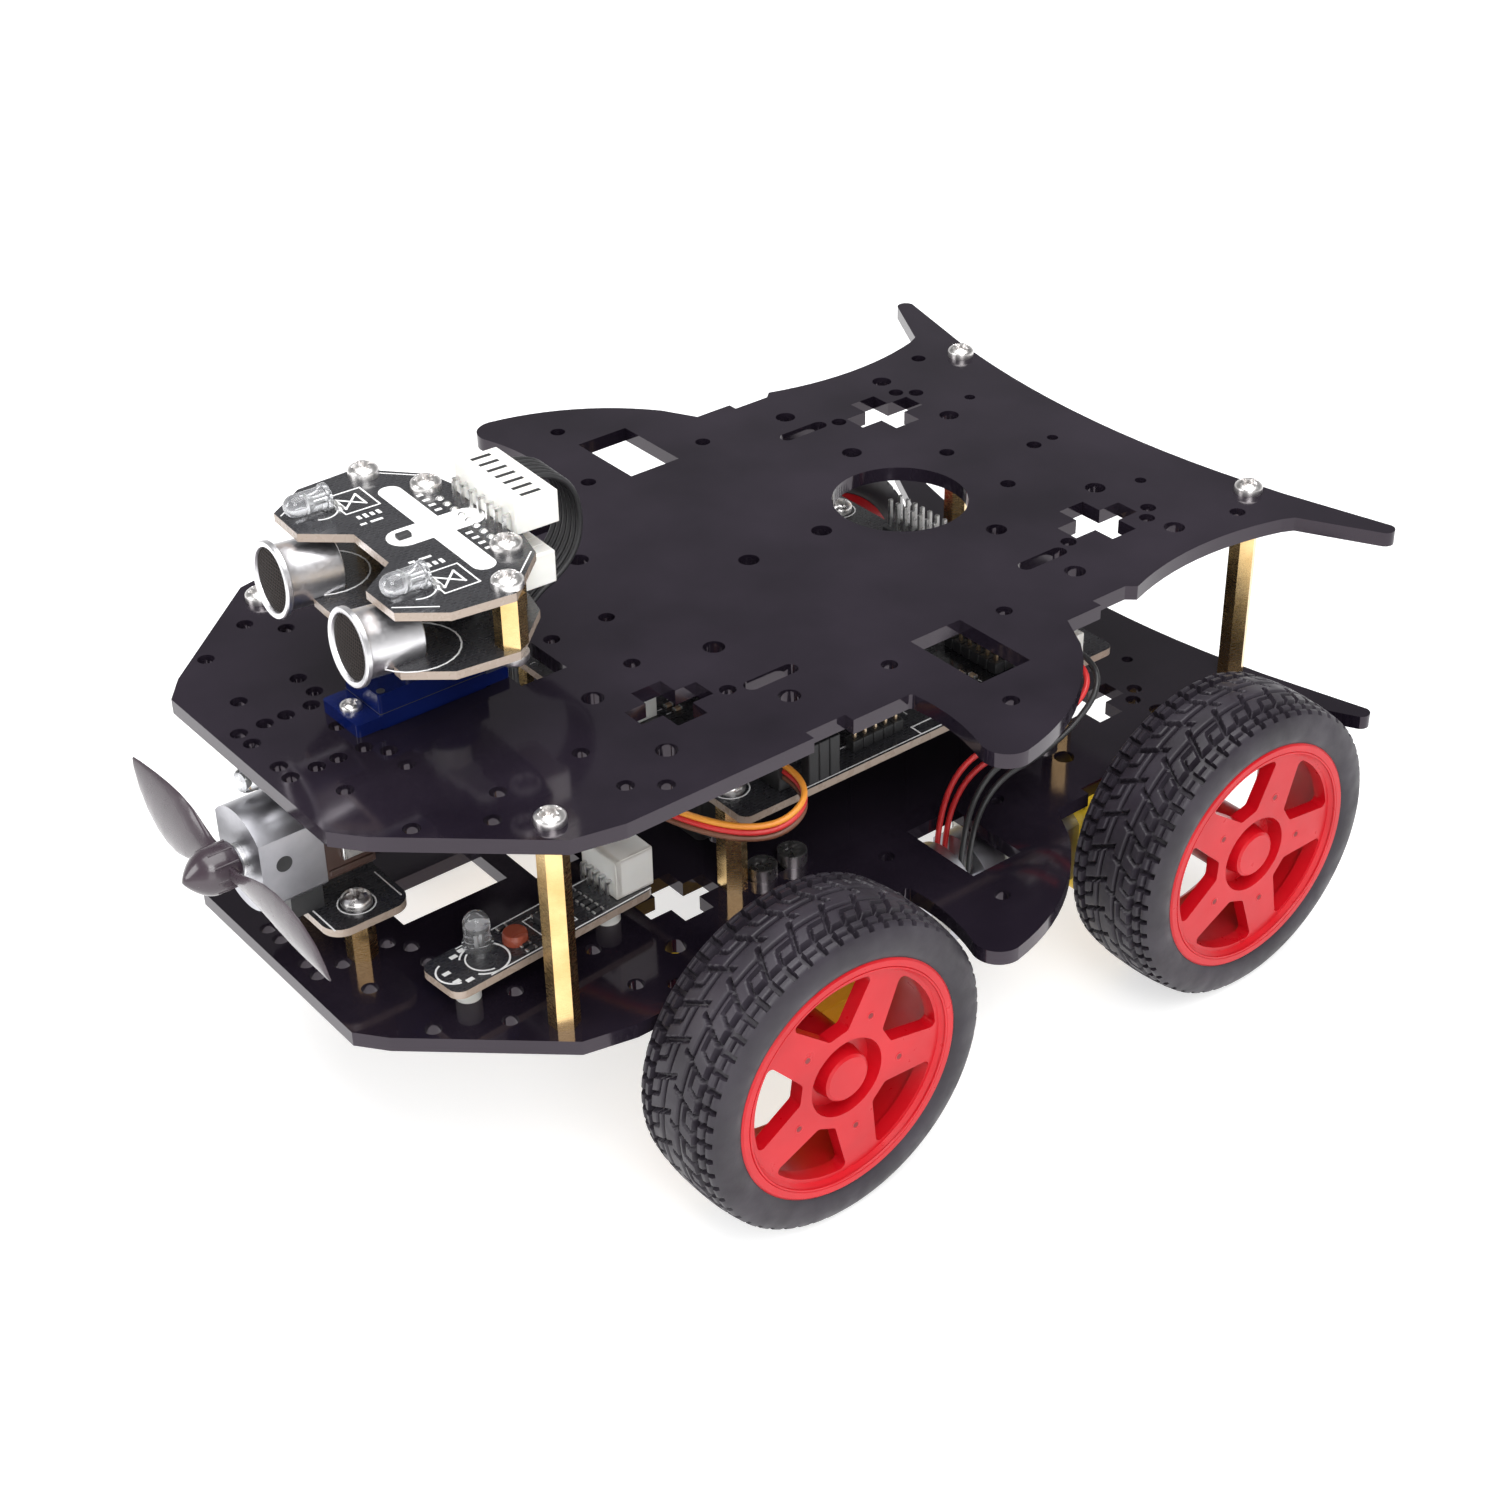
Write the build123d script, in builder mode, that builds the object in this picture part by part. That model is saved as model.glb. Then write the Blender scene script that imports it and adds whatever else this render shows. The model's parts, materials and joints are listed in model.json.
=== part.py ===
import os
from math import cos, pi, radians, sin, tan

from build123d import *

os.makedirs("parts", exist_ok=True)

# Frame: X forward, Y to the robot's left, Z up, ground at z = 0, millimetres.

# Overall
half_length = 116.3
spinner_reach = 15.1
nose_x = half_length - spinner_reach
axle_z = 32.5
front_axle = 69.8
rear_axle = 176.7

# Decks
deck_t = 3.0
lower_deck_z = 43.75
deck_gap = 40.0
upper_deck_z = lower_deck_z + deck_t + deck_gap
lower_top = lower_deck_z + deck_t
upper_top = upper_deck_z + deck_t
m3_hole = 1.6
m4_hole = 2.1
m2_hole = 1.2

# Fasteners
m3_shank = 1.4
m3_bore = 1.45
m3_head_r = 2.9
m3_head_h = 2.4
standoff_af = 5.0

# Wheels
tyre_r = 32.5
tyre_in = 58.6
tyre_out = 80.4
rim_r = 24.9
rim_in = 58.9
rim_lip = 80.2
spoke_face = 79.0
spoke_t = 3.0
barrel_r = 22.5
hub_r = 9.4
axle_r = 2.7
axle_bore = 2.75
wheel_phase = {"front": 116.0, "rear": 111.5}

# Gear motors
gear_len = 37.4
gear_nose = 11.2
gear_h = 22.5
gear_in = 38.6
gear_out = 57.2
gear_y = (gear_in + gear_out) / 2
bolt_offset = 19.0
bolt_pitch = 17.5
can_r = 10.05
can_flat = 15.4
front_can_end = 121.3
rear_can_end = 125.2
bracket_in = 34.0
slot_y = 36.6

# Controller board
board_t = 1.6
board_z = lower_top + 20.0
board_top = board_z + board_t
board_front = 74.5
board_rear = 169.0
board_half = 44.6
board_holes = [(78.8, 35.0), (164.1, 35.0)]
deck_posts = [(30.5, 48.6), (206.9, 43.2)]

# Pan head
pan_x = 60.0
pan_yaw = -3.0
servo_front = 24.0
servo_rear = 46.5
servo_w = 12.0
head_low_z = 108.3
head_up_z = 119.7
ear_z = 113.0
ear_v = 14.4
ear_u = 25.1
ear_tilt = 4.0

# Fan
fan_z = 71.0
fan_r = 10.05
fan_board_z = lower_top + 10.0
prop_r = 34.0
shaft_r = 1.0


def at(d, y):
    """Point in plan, d measured back from the decks' front edge."""
    return (nose_x - d, y)


def mirrored(points):
    """Points given for the left side, followed by their right-hand twins."""
    return [at(d, s * y) for s in (1, -1) for d, y in points]


# Left half of the deck outline, front to back, as straight runs and arcs
nose_run = [(0, 0), (0, 27), (4.3, 32.5), (29.7, 55), (40, 57.3), (80.5, 57.3)]
nose_run += [(80.5, 55), (89.5, 55), (89.5, 57.3), (102.2, 57.3)]
waist_run = [(138.5, 64.3), (142.5, 56.8), (151.3, 56.8), (151.3, 54.6)]
waist_run += [(160, 54.6), (161.8, 56.2)]
tail_run = [(203, 55.8), (205.5, 57), (213.7, 72.38)]
tail_in = [(217.5, 71.5), (211.5, 48.5), (209.8, 40)]

m3_pairs = [(4.0, 4.7), (3.8, 9.0), (9.0, 9.0), (13.3, 9.0), (18.5, 9.0), (21.3, 12.7)]
m3_pairs += [(9.0, 18.4), (21.3, 18.5), (11.6, 35.4), (23.4, 42.0), (28.7, 35.7)]
m3_pairs += [(46.5, 34.8), (46.5, 48.0), (52.0, 52.3), (71.0, 16.5), (106.7, 47.2)]
m3_pairs += [(136.0, 46.5), (115.2, 70.4), (183.0, 38.0), (186.3, 35.1)]
m3_pairs += [(198.5, 48.0), (172.0, 9.3)]
m4_pairs = [(58.5, 21.65), (58.5, 43.75), (86.0, 21.65), (86.0, 43.75)]
m4_pairs += [(156.8, 22.15), (156.8, 44.25), (184.3, 22.15), (184.3, 44.25)]


def deck_outline():
    with BuildLine() as edge:
        Polyline(*[at(d, y) for d, y in nose_run])
        ThreePointArc(at(102.2, 57.3), at(103.0, 57.6), at(103.3, 58.5))
        ThreePointArc(at(103.3, 58.5), at(103.4, 68.0), at(101.4, 77.0))
        ThreePointArc(at(101.4, 77.0), at(102.2, 82.2), at(106.5, 84.0))
        ThreePointArc(at(106.5, 84.0), at(125.0, 76.9), at(138.5, 64.3))
        Polyline(*[at(d, y) for d, y in waist_run])
        ThreePointArc(at(161.8, 56.2), at(182.0, 52.7), at(203.0, 55.8))
        Polyline(*[at(d, y) for d, y in tail_run])
        ThreePointArc(at(213.7, 72.38), at(216.5, 73.232), at(217.5, 71.5))
        Polyline(*[at(d, y) for d, y in tail_in])
        ThreePointArc(at(209.8, 40.0), at(206.943, 20.0), at(206.0, 0.0))
        mirror(about=Plane.XZ)
    make_face(edge.edges())


def deck_holes():
    with Locations(*mirrored(m3_pairs + board_holes + deck_posts)):
        Circle(m3_hole, mode=Mode.SUBTRACT)
    with Locations(*[at(d, 0) for d in (18.5, 64.6, 77.2, 188.3)]):
        Circle(m3_hole, mode=Mode.SUBTRACT)
    with Locations(*mirrored(m4_pairs), at(111.5, 0), at(130.0, 0)):
        Circle(m4_hole, mode=Mode.SUBTRACT)
    with Locations(at(193.7, 0), at(193.7, 25.8), at(193.7, -25.8)):
        Circle(m2_hole, mode=Mode.SUBTRACT)
    with Locations(*mirrored([(121.2, 53.1)])):
        Rectangle(12.3, 19.0, mode=Mode.SUBTRACT)
    with Locations(at((servo_front + servo_rear) / 2, 0)):
        Rectangle(servo_rear - servo_front + 0.5, servo_w + 0.6, mode=Mode.SUBTRACT)
    with Locations(at(56.0, 0)):
        Rectangle(10.0, 20.0, mode=Mode.SUBTRACT)
    with Locations(at(150.8, 0)):
        Circle(13.9, mode=Mode.SUBTRACT)
    with Locations(*mirrored([(68.0, 31.8)])):
        Rectangle(6.6, 14.0, mode=Mode.SUBTRACT)
        Rectangle(16.0, 5.2, mode=Mode.SUBTRACT)
    with Locations(*mirrored([(174.8, 32.3)])):
        Rectangle(6.5, 15.0, mode=Mode.SUBTRACT)
        Rectangle(17.0, 5.3, mode=Mode.SUBTRACT)
    with Locations(*mirrored([(87.5, slot_y), (155.5, slot_y)])):
        SlotOverall(12.0, 2 * m3_hole, mode=Mode.SUBTRACT)


# Lower deck
with BuildPart() as lower_deck:
    with BuildSketch(Plane.XY.offset(lower_deck_z)):
        deck_outline()
        deck_holes()
    extrude(amount=deck_t)
lower_deck.part.label = "lower_deck"
export_step(lower_deck.part, "parts/lower_deck.step")

# Upper deck, the same plate with two pilot holes for the servo screws
servo_screws_d = [21.6, 48.9]
with BuildPart() as upper_deck:
    with BuildSketch(Plane.XY.offset(upper_deck_z)):
        deck_outline()
        deck_holes()
        with Locations(*[at(d, 0) for d in servo_screws_d]):
            Circle(0.9, mode=Mode.SUBTRACT)
    extrude(amount=deck_t)
upper_deck.part.label = "upper_deck"
export_step(upper_deck.part, "parts/upper_deck.step")


def posts(points, z, height, af=standoff_af, bore=m3_bore):
    """Hexagonal spacers with a through bore."""
    with BuildSketch(Plane.XY.offset(z)) as section:
        with Locations(*points):
            RegularPolygon(af / 2, 6, major_radius=False, rotation=30)
            Circle(bore, mode=Mode.SUBTRACT)
    extrude(section.sketch, amount=height)


def screws(points, z, length, up=True, shank=m3_shank, head_r=m3_head_r, head_h=m3_head_h):
    """Pan-head screws seated on height z, heads above it or, if not up, below it."""
    s = 1 if up else -1
    with BuildSketch(Plane.XY.offset(z)) as heads:
        with Locations(*points):
            Circle(head_r)
    extrude(heads.sketch, amount=s * head_h)
    with BuildSketch(Plane.XY.offset(z)) as shanks:
        with Locations(*points):
            Circle(shank)
    extrude(shanks.sketch, amount=-s * length)


# Brass standoffs between the decks
with BuildPart() as deck_standoffs:
    posts(mirrored(deck_posts), lower_top, deck_gap)
deck_standoffs.part.label = "deck_standoffs"
export_step(deck_standoffs.part, "parts/deck_standoffs.step")

with BuildPart() as deck_screws:
    screws(mirrored(deck_posts), upper_top, deck_t + 6)
    screws(mirrored(deck_posts), lower_deck_z, deck_t + 6, up=False)
deck_screws.part.label = "deck_screws"
export_step(deck_screws.part, "parts/deck_screws.step")

# Brass standoffs under the controller board and under the fan board
fan_posts = [(13.3, 9.0)]
with BuildPart() as board_standoffs:
    posts(mirrored(board_holes), lower_top, 20.0)
    posts(mirrored(fan_posts), lower_top, 10.0)
board_standoffs.part.label = "board_standoffs"
export_step(board_standoffs.part, "parts/board_standoffs.step")

with BuildPart() as board_screws:
    screws(mirrored(board_holes), board_top, board_t + 5)
    screws(mirrored(board_holes), lower_deck_z, deck_t + 5, up=False)
    screws(mirrored(fan_posts), fan_board_z + board_t, board_t + 3)
    screws(mirrored(fan_posts), lower_deck_z, deck_t + 3, up=False)
board_screws.part.label = "board_screws"
export_step(board_screws.part, "parts/board_screws.step")

# Controller board with its edge parts
with BuildPart() as controller_board:
    with BuildSketch(Plane.XY.offset(board_z)):
        with Locations(at((board_front + board_rear) / 2, 0)):
            RectangleRounded(board_rear - board_front, 2 * board_half, 2.0)
        with Locations(*mirrored(board_holes)):
            Circle(m3_hole, mode=Mode.SUBTRACT)
    extrude(amount=board_t)
controller_board.part.label = "controller_board"
export_step(controller_board.part, "parts/controller_board.step")


def blocks(items, z):
    """Upright rectangular blocks: centre d, centre y, size along X, size along Y, height."""
    for d, y, size_x, size_y, height in items:
        with BuildSketch(Plane.XY.offset(z)) as section:
            with Locations(at(d, y)):
                Rectangle(size_x, size_y)
        extrude(section.sketch, amount=height)


def both_sides(items):
    return items + [(d, -y, sx, sy, h) for d, y, sx, sy, h in items]


# Surface-mount chips, regulators and drivers
chip_list = [(112.0, 6.0, 12.0, 12.0, 1.6), (96.0, 18.0, 8.0, 5.0, 1.7), (96.0, -4.0, 7.0, 9.0, 2.4)]
chip_list += both_sides([(133.0, 24.0, 9.0, 5.5, 1.8), (122.0, 30.0, 5.0, 4.0, 1.5)])
chip_list += [(138.0, 0.0, 10.0, 9.0, 4.5), (152.0, -30.0, 7.0, 6.5, 2.3)]
with BuildPart() as controller_chips:
    blocks(chip_list, board_top)
controller_chips.part.label = "controller_chips"
export_step(controller_chips.part, "parts/controller_chips.step")

# Black header strips and the plug of the servo lead
plug_d = 86.0
plug_y = 42.0
with BuildPart() as controller_headers:
    blocks([(94.0, 42.8, 8.0, 2.5, 8.5), (110.0, 39.6, 12.7, 2.5, 2.5)], board_top)
    blocks([(145.6, 30.0, 5.1, 15.2, 2.5), (104.0, -40.0, 20.3, 2.5, 8.5)], board_top)
    blocks([(128.0, -41.0, 12.7, 2.5, 8.5), (166.0, 22.0, 2.5, 15.2, 8.5)], board_top)
    blocks([(plug_d, plug_y - 5.5, 2.6, 11.0, 8.2)], board_top)
controller_headers.part.label = "controller_headers"
export_step(controller_headers.part, "parts/controller_headers.step")

# White wire-to-board connectors
cable_face_d = 76.5
wire_plug_d = 154.25
with BuildPart() as controller_connectors:
    blocks([(cable_face_d + 3.5, -2.5, 7.0, 18.0, 7.0), (165.6, -11.0, 6.0, 16.0, 9.6)], board_top)
    blocks(both_sides([(wire_plug_d, board_half - 3.0, 12.0, 6.0, 6.5)]), board_top)
controller_connectors.part.label = "controller_connectors"
export_step(controller_connectors.part, "parts/controller_connectors.step")

# Battery holder and its two round cells, under the controller board
box_front = 82.0
box_rear = 159.0
box_mid = (box_front + box_rear) / 2
box_w = 41.0
box_h = 18.8
cell_r = 9.2
cell_len = 65.0
cell_y = 9.6
cell_z = lower_top + 1.5 + cell_r
with BuildPart() as battery_box:
    with BuildSketch(Plane.XY.offset(lower_top)):
        with Locations(at(box_mid, 0)):
            RectangleRounded(box_rear - box_front, box_w, 1.5)
    extrude(amount=box_h)
    with BuildSketch(Plane.XY.offset(lower_top + 1.5)):
        with Locations(at(box_mid, 0)):
            Rectangle(box_rear - box_front - 3.0, box_w - 3.0)
    extrude(amount=box_h, mode=Mode.SUBTRACT)
battery_box.part.label = "battery_box"
export_step(battery_box.part, "parts/battery_box.step")

with BuildPart() as battery_cells:
    with BuildSketch(Plane.YZ.offset(nose_x - box_mid - cell_len / 2)):
        with Locations((cell_y, cell_z), (-cell_y, cell_z)):
            Circle(cell_r)
    extrude(amount=cell_len)
    with BuildSketch(Plane.YZ.offset(nose_x - box_mid + cell_len / 2)):
        with Locations((cell_y, cell_z), (-cell_y, cell_z)):
            Circle(3.0)
    extrude(amount=1.2)
battery_cells.part.label = "battery_cells"
export_step(battery_cells.part, "parts/battery_cells.step")


def side_plane(y):
    """Upright plane at y whose drawing axes are X and Z."""
    return Plane.XZ.offset(-y)


# Gear motors: direction is +1 where the motor can points back from the axle
motor_sets = [("front", front_axle, 1, front_can_end), ("rear", rear_axle, -1, rear_can_end)]
sides = [("left", 1), ("right", -1)]

for end, axle, back, can_end in motor_sets:
    gear_a = axle - back * gear_nose
    gear_b = gear_a + back * gear_len
    gear_mid = (gear_a + gear_b) / 2
    bolt_d = axle + back * bolt_offset
    for side, s in sides:
        with BuildPart() as gearbox:
            with BuildSketch(side_plane(s * gear_out)):
                with Locations(at(gear_mid, axle_z)):
                    RectangleRounded(gear_len, gear_h, 2.5)
                with Locations(at(bolt_d, axle_z)):
                    with GridLocations(0, bolt_pitch, 1, 2):
                        Circle(m3_bore, mode=Mode.SUBTRACT)
            extrude(amount=s * (gear_out - gear_in))
            with BuildSketch(side_plane(s * (gear_y + 1.5))):
                with Locations(at(gear_a - back * 1.5, axle_z)):
                    RectangleRounded(7.0, 8.0, 1.5)
                with Locations(at(gear_a - back * 2.4, axle_z)):
                    Circle(1.5, mode=Mode.SUBTRACT)
            extrude(amount=s * 3.0)
            with BuildSketch(side_plane(s * (gear_out + 0.8))):
                with Locations(at(axle, axle_z)):
                    Circle(4.4)
            extrude(amount=s * 0.8)
            with BuildSketch(side_plane(s * (gear_out + 0.8))):
                with Locations(at(axle, axle_z)):
                    Circle(axle_bore)
            extrude(amount=s * 17.0, mode=Mode.SUBTRACT)
        gearbox.part.label = end + "_" + side + "_gearbox"
        export_step(gearbox.part, "parts/" + end + "_" + side + "_gearbox.step")

        with BuildPart() as motor:
            with BuildSketch(Plane.YZ.offset(nose_x - gear_b)):
                with Locations((s * gear_y, axle_z)):
                    Circle(can_r)
                    Rectangle(can_flat, 3 * can_r, mode=Mode.INTERSECT)
            extrude(amount=-(can_end - gear_b))
            with BuildSketch(Plane.XY.offset(35.8)):
                with Locations(at(can_end + back * 0.4, s * 44.5), at(can_end + back * 0.4, s * 51.5)):
                    Rectangle(2.4, 2.0)
            extrude(amount=1.2)
        motor.part.label = end + "_" + side + "_motor"
        export_step(motor.part, "parts/" + end + "_" + side + "_motor.step")

# Aluminium blocks that hang the gearboxes under the lower deck
bracket_sets = [(88.35, front_axle + bolt_offset), (154.9, rear_axle - bolt_offset)]
with BuildPart() as motor_brackets:
    for mid, bolt_d in bracket_sets:
        for side, s in sides:
            with BuildSketch(side_plane(s * gear_in)):
                with Locations(at(mid, axle_z)):
                    Rectangle(10.8, gear_h)
                with Locations(at(bolt_d, axle_z)):
                    with GridLocations(0, bolt_pitch, 1, 2):
                        Circle(m3_bore, mode=Mode.SUBTRACT)
            extrude(amount=s * (gear_in - bracket_in))
            with BuildSketch(Plane.XY.offset(lower_deck_z)):
                with Locations(at(mid - 3.65, s * slot_y), at(mid + 3.65, s * slot_y)):
                    Circle(m3_bore)
            extrude(amount=-0.85, mode=Mode.SUBTRACT)
motor_brackets.part.label = "motor_brackets"
export_step(motor_brackets.part, "parts/motor_brackets.step")

with BuildPart() as motor_screws:
    for mid, bolt_d in bracket_sets:
        screws(mirrored([(mid - 3.65, slot_y), (mid + 3.65, slot_y)]), lower_top, deck_t + 0.8)
        for side, s in sides:
            with BuildSketch(side_plane(s * bracket_in)):
                with Locations(at(bolt_d, axle_z)):
                    with GridLocations(0, bolt_pitch, 1, 2):
                        Circle(2.45)
            extrude(amount=s * 2.2)
            with BuildSketch(side_plane(s * bracket_in)):
                with Locations(at(bolt_d, axle_z)):
                    with GridLocations(0, bolt_pitch, 1, 2):
                        Circle(m3_shank)
            extrude(amount=-s * (gear_out - bracket_in - 0.2))
motor_screws.part.label = "motor_screws"
export_step(motor_screws.part, "parts/motor_screws.step")


# Wheels: a red five-spoke rim, a black tyre and the white gear shaft that drives it
def ring(axle, s, points):
    """Solid of revolution about a wheel axle from radius and side-distance pairs."""
    with BuildSketch(Plane.XY.offset(axle_z)) as section:
        with BuildLine():
            Polyline(*[(nose_x - axle + r, s * y) for r, y in points], close=True)
        make_face()
    revolve(section.sketch, axis=Axis((nose_x - axle, 0, axle_z), (0, 1, 0)))


rim_section = [(axle_r, rim_in), (6.5, rim_in), (6.5, 73.0), (hub_r, 75.0), (hub_r, spoke_face - spoke_t)]
rim_section += [(barrel_r, spoke_face - spoke_t), (barrel_r, rim_in + 1.0), (barrel_r + 0.8, rim_in)]
rim_section += [(rim_r, rim_in), (rim_r, rim_lip - 0.3), (rim_r - 0.4, rim_lip), (23.3, rim_lip)]
rim_section += [(22.7, rim_lip - 0.5), (barrel_r - 0.5, spoke_face), (8.2, spoke_face), (7.6, 75.8)]
rim_section += [(5.4, 75.8), (4.9, spoke_face), (4.4, spoke_face + 0.4), (0, spoke_face + 0.4)]
rim_section += [(0, 74.0), (axle_r, 74.0)]
window_in = 10.8
window_out = 21.2
window_spread = 26.0
window_root = 11.5


def around(axle, r, turn):
    """Point on a wheel's side at radius r, turn degrees up from straight ahead."""
    return (nose_x - axle + r * cos(radians(turn)), axle_z + r * sin(radians(turn)))


for end, axle in (("front", front_axle), ("rear", rear_axle)):
    for side, s in sides:
        with BuildPart() as rim:
            ring(axle, s, rim_section)
            with BuildSketch(side_plane(s * (spoke_face + 0.5))) as windows:
                for k in range(5):
                    turn = wheel_phase[end] + 36 + 72 * k
                    a = around(axle, window_in, turn - window_root)
                    b = around(axle, window_out, turn - window_spread)
                    m = around(axle, window_out, turn)
                    c = around(axle, window_out, turn + window_spread)
                    e = around(axle, window_in, turn + window_root)
                    with BuildLine():
                        Line(a, b)
                        ThreePointArc(b, m, c)
                        Line(c, e)
                        Line(e, a)
                    make_face()
                fillet(windows.vertices(), 1.1)
            extrude(amount=s * (spoke_t + 1.0), mode=Mode.SUBTRACT)
        rim.part.label = end + "_" + side + "_rim"
        export_step(rim.part, "parts/" + end + "_" + side + "_rim.step")

        with BuildPart() as tyre:
            with BuildSketch(Plane.XY.offset(axle_z)):
                with BuildLine():
                    ax = nose_x - axle
                    mid_y = (tyre_in + tyre_out) / 2
                    Line((ax + rim_r, s * 59.2), (ax + 27.0, s * tyre_in))
                    ThreePointArc((ax + 27.0, s * tyre_in), (ax + 30.2, s * 58.95), (ax + 31.6, s * 60.2))
                    ThreePointArc((ax + 31.6, s * 60.2), (ax + tyre_r, s * mid_y), (ax + 31.6, s * 78.8))
                    ThreePointArc((ax + 31.6, s * 78.8), (ax + 30.2, s * 80.05), (ax + 27.0, s * tyre_out))
                    Line((ax + 27.0, s * tyre_out), (ax + rim_r, s * 79.8))
                    Line((ax + rim_r, s * 79.8), (ax + rim_r, s * 59.2))
                make_face()
            revolve(axis=Axis((ax, 0, axle_z), (0, 1, 0)))
        tyre.part.label = end + "_" + side + "_tyre"
        export_step(tyre.part, "parts/" + end + "_" + side + "_tyre.step")

        with BuildPart() as shaft:
            with BuildSketch(side_plane(s * 42.0)):
                with Locations(at(axle, axle_z)):
                    Circle(axle_r)
            extrude(amount=-s * 32.0)
        shaft.part.label = end + "_" + side + "_axle"
        export_step(shaft.part, "parts/" + end + "_" + side + "_axle.step")

# Fan motor at the nose, its board and its drive
with BuildPart() as fan_motor:
    with BuildSketch(Plane.YZ.offset(nose_x - 9.0)):
        with Locations((0, fan_z)):
            Circle(fan_r)
            Rectangle(15.4, 3 * fan_r, mode=Mode.INTERSECT)
    extrude(amount=12.5)
    with BuildSketch(Plane.YZ.offset(nose_x + 3.5)):
        with Locations((0, fan_z)):
            Circle(3.0)
    extrude(amount=1.1)
    with BuildSketch(Plane.YZ.offset(nose_x + 4.6)):
        with Locations((0, fan_z)):
            Circle(shaft_r + 0.05)
    extrude(amount=-11.0, mode=Mode.SUBTRACT)
fan_motor.part.label = "fan_motor"
export_step(fan_motor.part, "parts/fan_motor.step")

with BuildPart() as fan_end_bell:
    with BuildSketch(Plane.YZ.offset(nose_x - 9.0)):
        with Locations((0, fan_z)):
            Circle(fan_r - 0.3)
            Rectangle(15.0, 3 * fan_r, mode=Mode.INTERSECT)
    extrude(amount=-10.0)
    with BuildSketch(Plane.YZ.offset(nose_x - 19.0)):
        with Locations((0, fan_z)):
            Circle(4.0)
    extrude(amount=-1.5)
fan_end_bell.part.label = "fan_end_bell"
export_step(fan_end_bell.part, "parts/fan_end_bell.step")

# Saddle that carries the fan motor above its board
with BuildPart() as fan_saddle:
    with BuildSketch(Plane.YZ.offset(nose_x - 2.0)):
        with Locations((0, 62.5)):
            Rectangle(12.0, 8.3)
        with Locations((0, fan_z)):
            Circle(fan_r, mode=Mode.SUBTRACT)
    extrude(amount=-6.5)
fan_saddle.part.label = "fan_saddle"
export_step(fan_saddle.part, "parts/fan_saddle.step")

with BuildPart() as fan_board:
    with BuildSketch(Plane.XY.offset(fan_board_z)):
        with Locations(at(13.5, 0)):
            RectangleRounded(17.0, 29.4, 4.0)
        with Locations(*mirrored(fan_posts)):
            Circle(m3_hole, mode=Mode.SUBTRACT)
    extrude(amount=board_t)
fan_board.part.label = "fan_board"
export_step(fan_board.part, "parts/fan_board.step")

# Two-bladed propeller: blade sections as radius, chord, thickness, pitch angle
prop_x = nose_x + 6.6
blade_sections = [(3.0, 4.6, 2.6, 28), (9.0, 6.4, 2.0, 20), (18.0, 11.0, 1.4, 12), (27.0, 10.5, 1.2, 8)]
blade_sections += [(prop_r, 5.0, 0.9, 6)]
with BuildPart() as propeller:
    for s in (1, -1):
        for radius, chord, thick, pitch in blade_sections:
            lens = [(0.5, 0), (0.27, 0.5), (-0.27, 0.5), (-0.5, 0), (-0.27, -0.5), (0.27, -0.5)]
            with BuildSketch(side_plane(s * radius)):
                with Locations((prop_x, fan_z)):
                    Polygon(*[(chord * a, thick * b) for a, b in lens], rotation=90 - s * pitch)
        loft()
    with BuildSketch(Plane.YZ.offset(nose_x + 4.9)):
        with Locations((0, fan_z)):
            Circle(4.4)
    extrude(amount=4.6)
    with BuildSketch(Plane.YZ.offset(nose_x + 4.9)):
        with Locations((0, fan_z)):
            Circle(shaft_r)
    extrude(amount=4.6, mode=Mode.SUBTRACT)
propeller.part.label = "propeller"
export_step(propeller.part, "parts/propeller.step")

with BuildPart() as spinner:
    with BuildSketch(Plane.XZ.offset(0)):
        with BuildLine():
            tip = [(-5.5, 0), (-5.5, shaft_r), (9.5, shaft_r), (9.5, 4.4), (10.8, 4.2)]
            tip += [(12.2, 3.6), (13.4, 2.7), (14.3, 1.7), (14.9, 0.8), (spinner_reach, 0)]
            Polyline(*[(nose_x + a, fan_z + b) for a, b in tip], close=True)
        make_face()
    revolve(axis=Axis((0, 0, fan_z), (1, 0, 0)))
spinner.part.label = "spinner"
export_step(spinner.part, "parts/spinner.step")

# Lamp boards on either side of the nose, each turned a little from the centre line
lamp_z = lower_top + 5.0
lamp_top = lamp_z + board_t
lamp_centre = (38.3, 30.2)
lamp_turn = 4.3
for side, s in sides:
    with BuildPart() as lamp_board:
        with BuildSketch(Plane.XY.offset(lamp_z)):
            with Locations(Location(at(lamp_centre[0], s * lamp_centre[1]) + (0,), s * lamp_turn)):
                RectangleRounded(46.0, 11.4, 2.5)
        extrude(amount=board_t)
    lamp_board.part.label = side + "_lamp_board"
    export_step(lamp_board.part, "parts/" + side + "_lamp_board.step")

with BuildPart() as lamp_spacers:
    with BuildSketch(Plane.XY.offset(lower_top)):
        with Locations(*mirrored([(21.5, 31.5), (54.0, 29.0)])):
            Circle(2.4)
    extrude(amount=lamp_z - lower_top)
lamp_spacers.part.label = "lamp_spacers"
export_step(lamp_spacers.part, "parts/lamp_spacers.step")

lamp_spots = [(26.6, 27.8)]
with BuildPart() as lamp_leds:
    with BuildSketch(Plane.XY.offset(lamp_top)):
        with Locations(*mirrored(lamp_spots)):
            Circle(2.9)
    extrude(amount=0.9)
    with BuildSketch(Plane.XY.offset(lamp_top)):
        with Locations(*mirrored(lamp_spots)):
            Circle(2.5)
    extrude(amount=4.9)
    with Locations(*[(x, y, lamp_top + 4.9) for x, y in mirrored(lamp_spots)]):
        Sphere(2.5)
lamp_leds.part.label = "lamp_leds"
export_step(lamp_leds.part, "parts/lamp_leds.step")

with BuildPart() as light_sensors:
    with BuildSketch(Plane.XY.offset(lamp_top)):
        with Locations(*mirrored([(32.6, 30.8)])):
            Circle(2.4)
    extrude(amount=2.0)
light_sensors.part.label = "light_sensors"
export_step(light_sensors.part, "parts/light_sensors.step")

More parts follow.
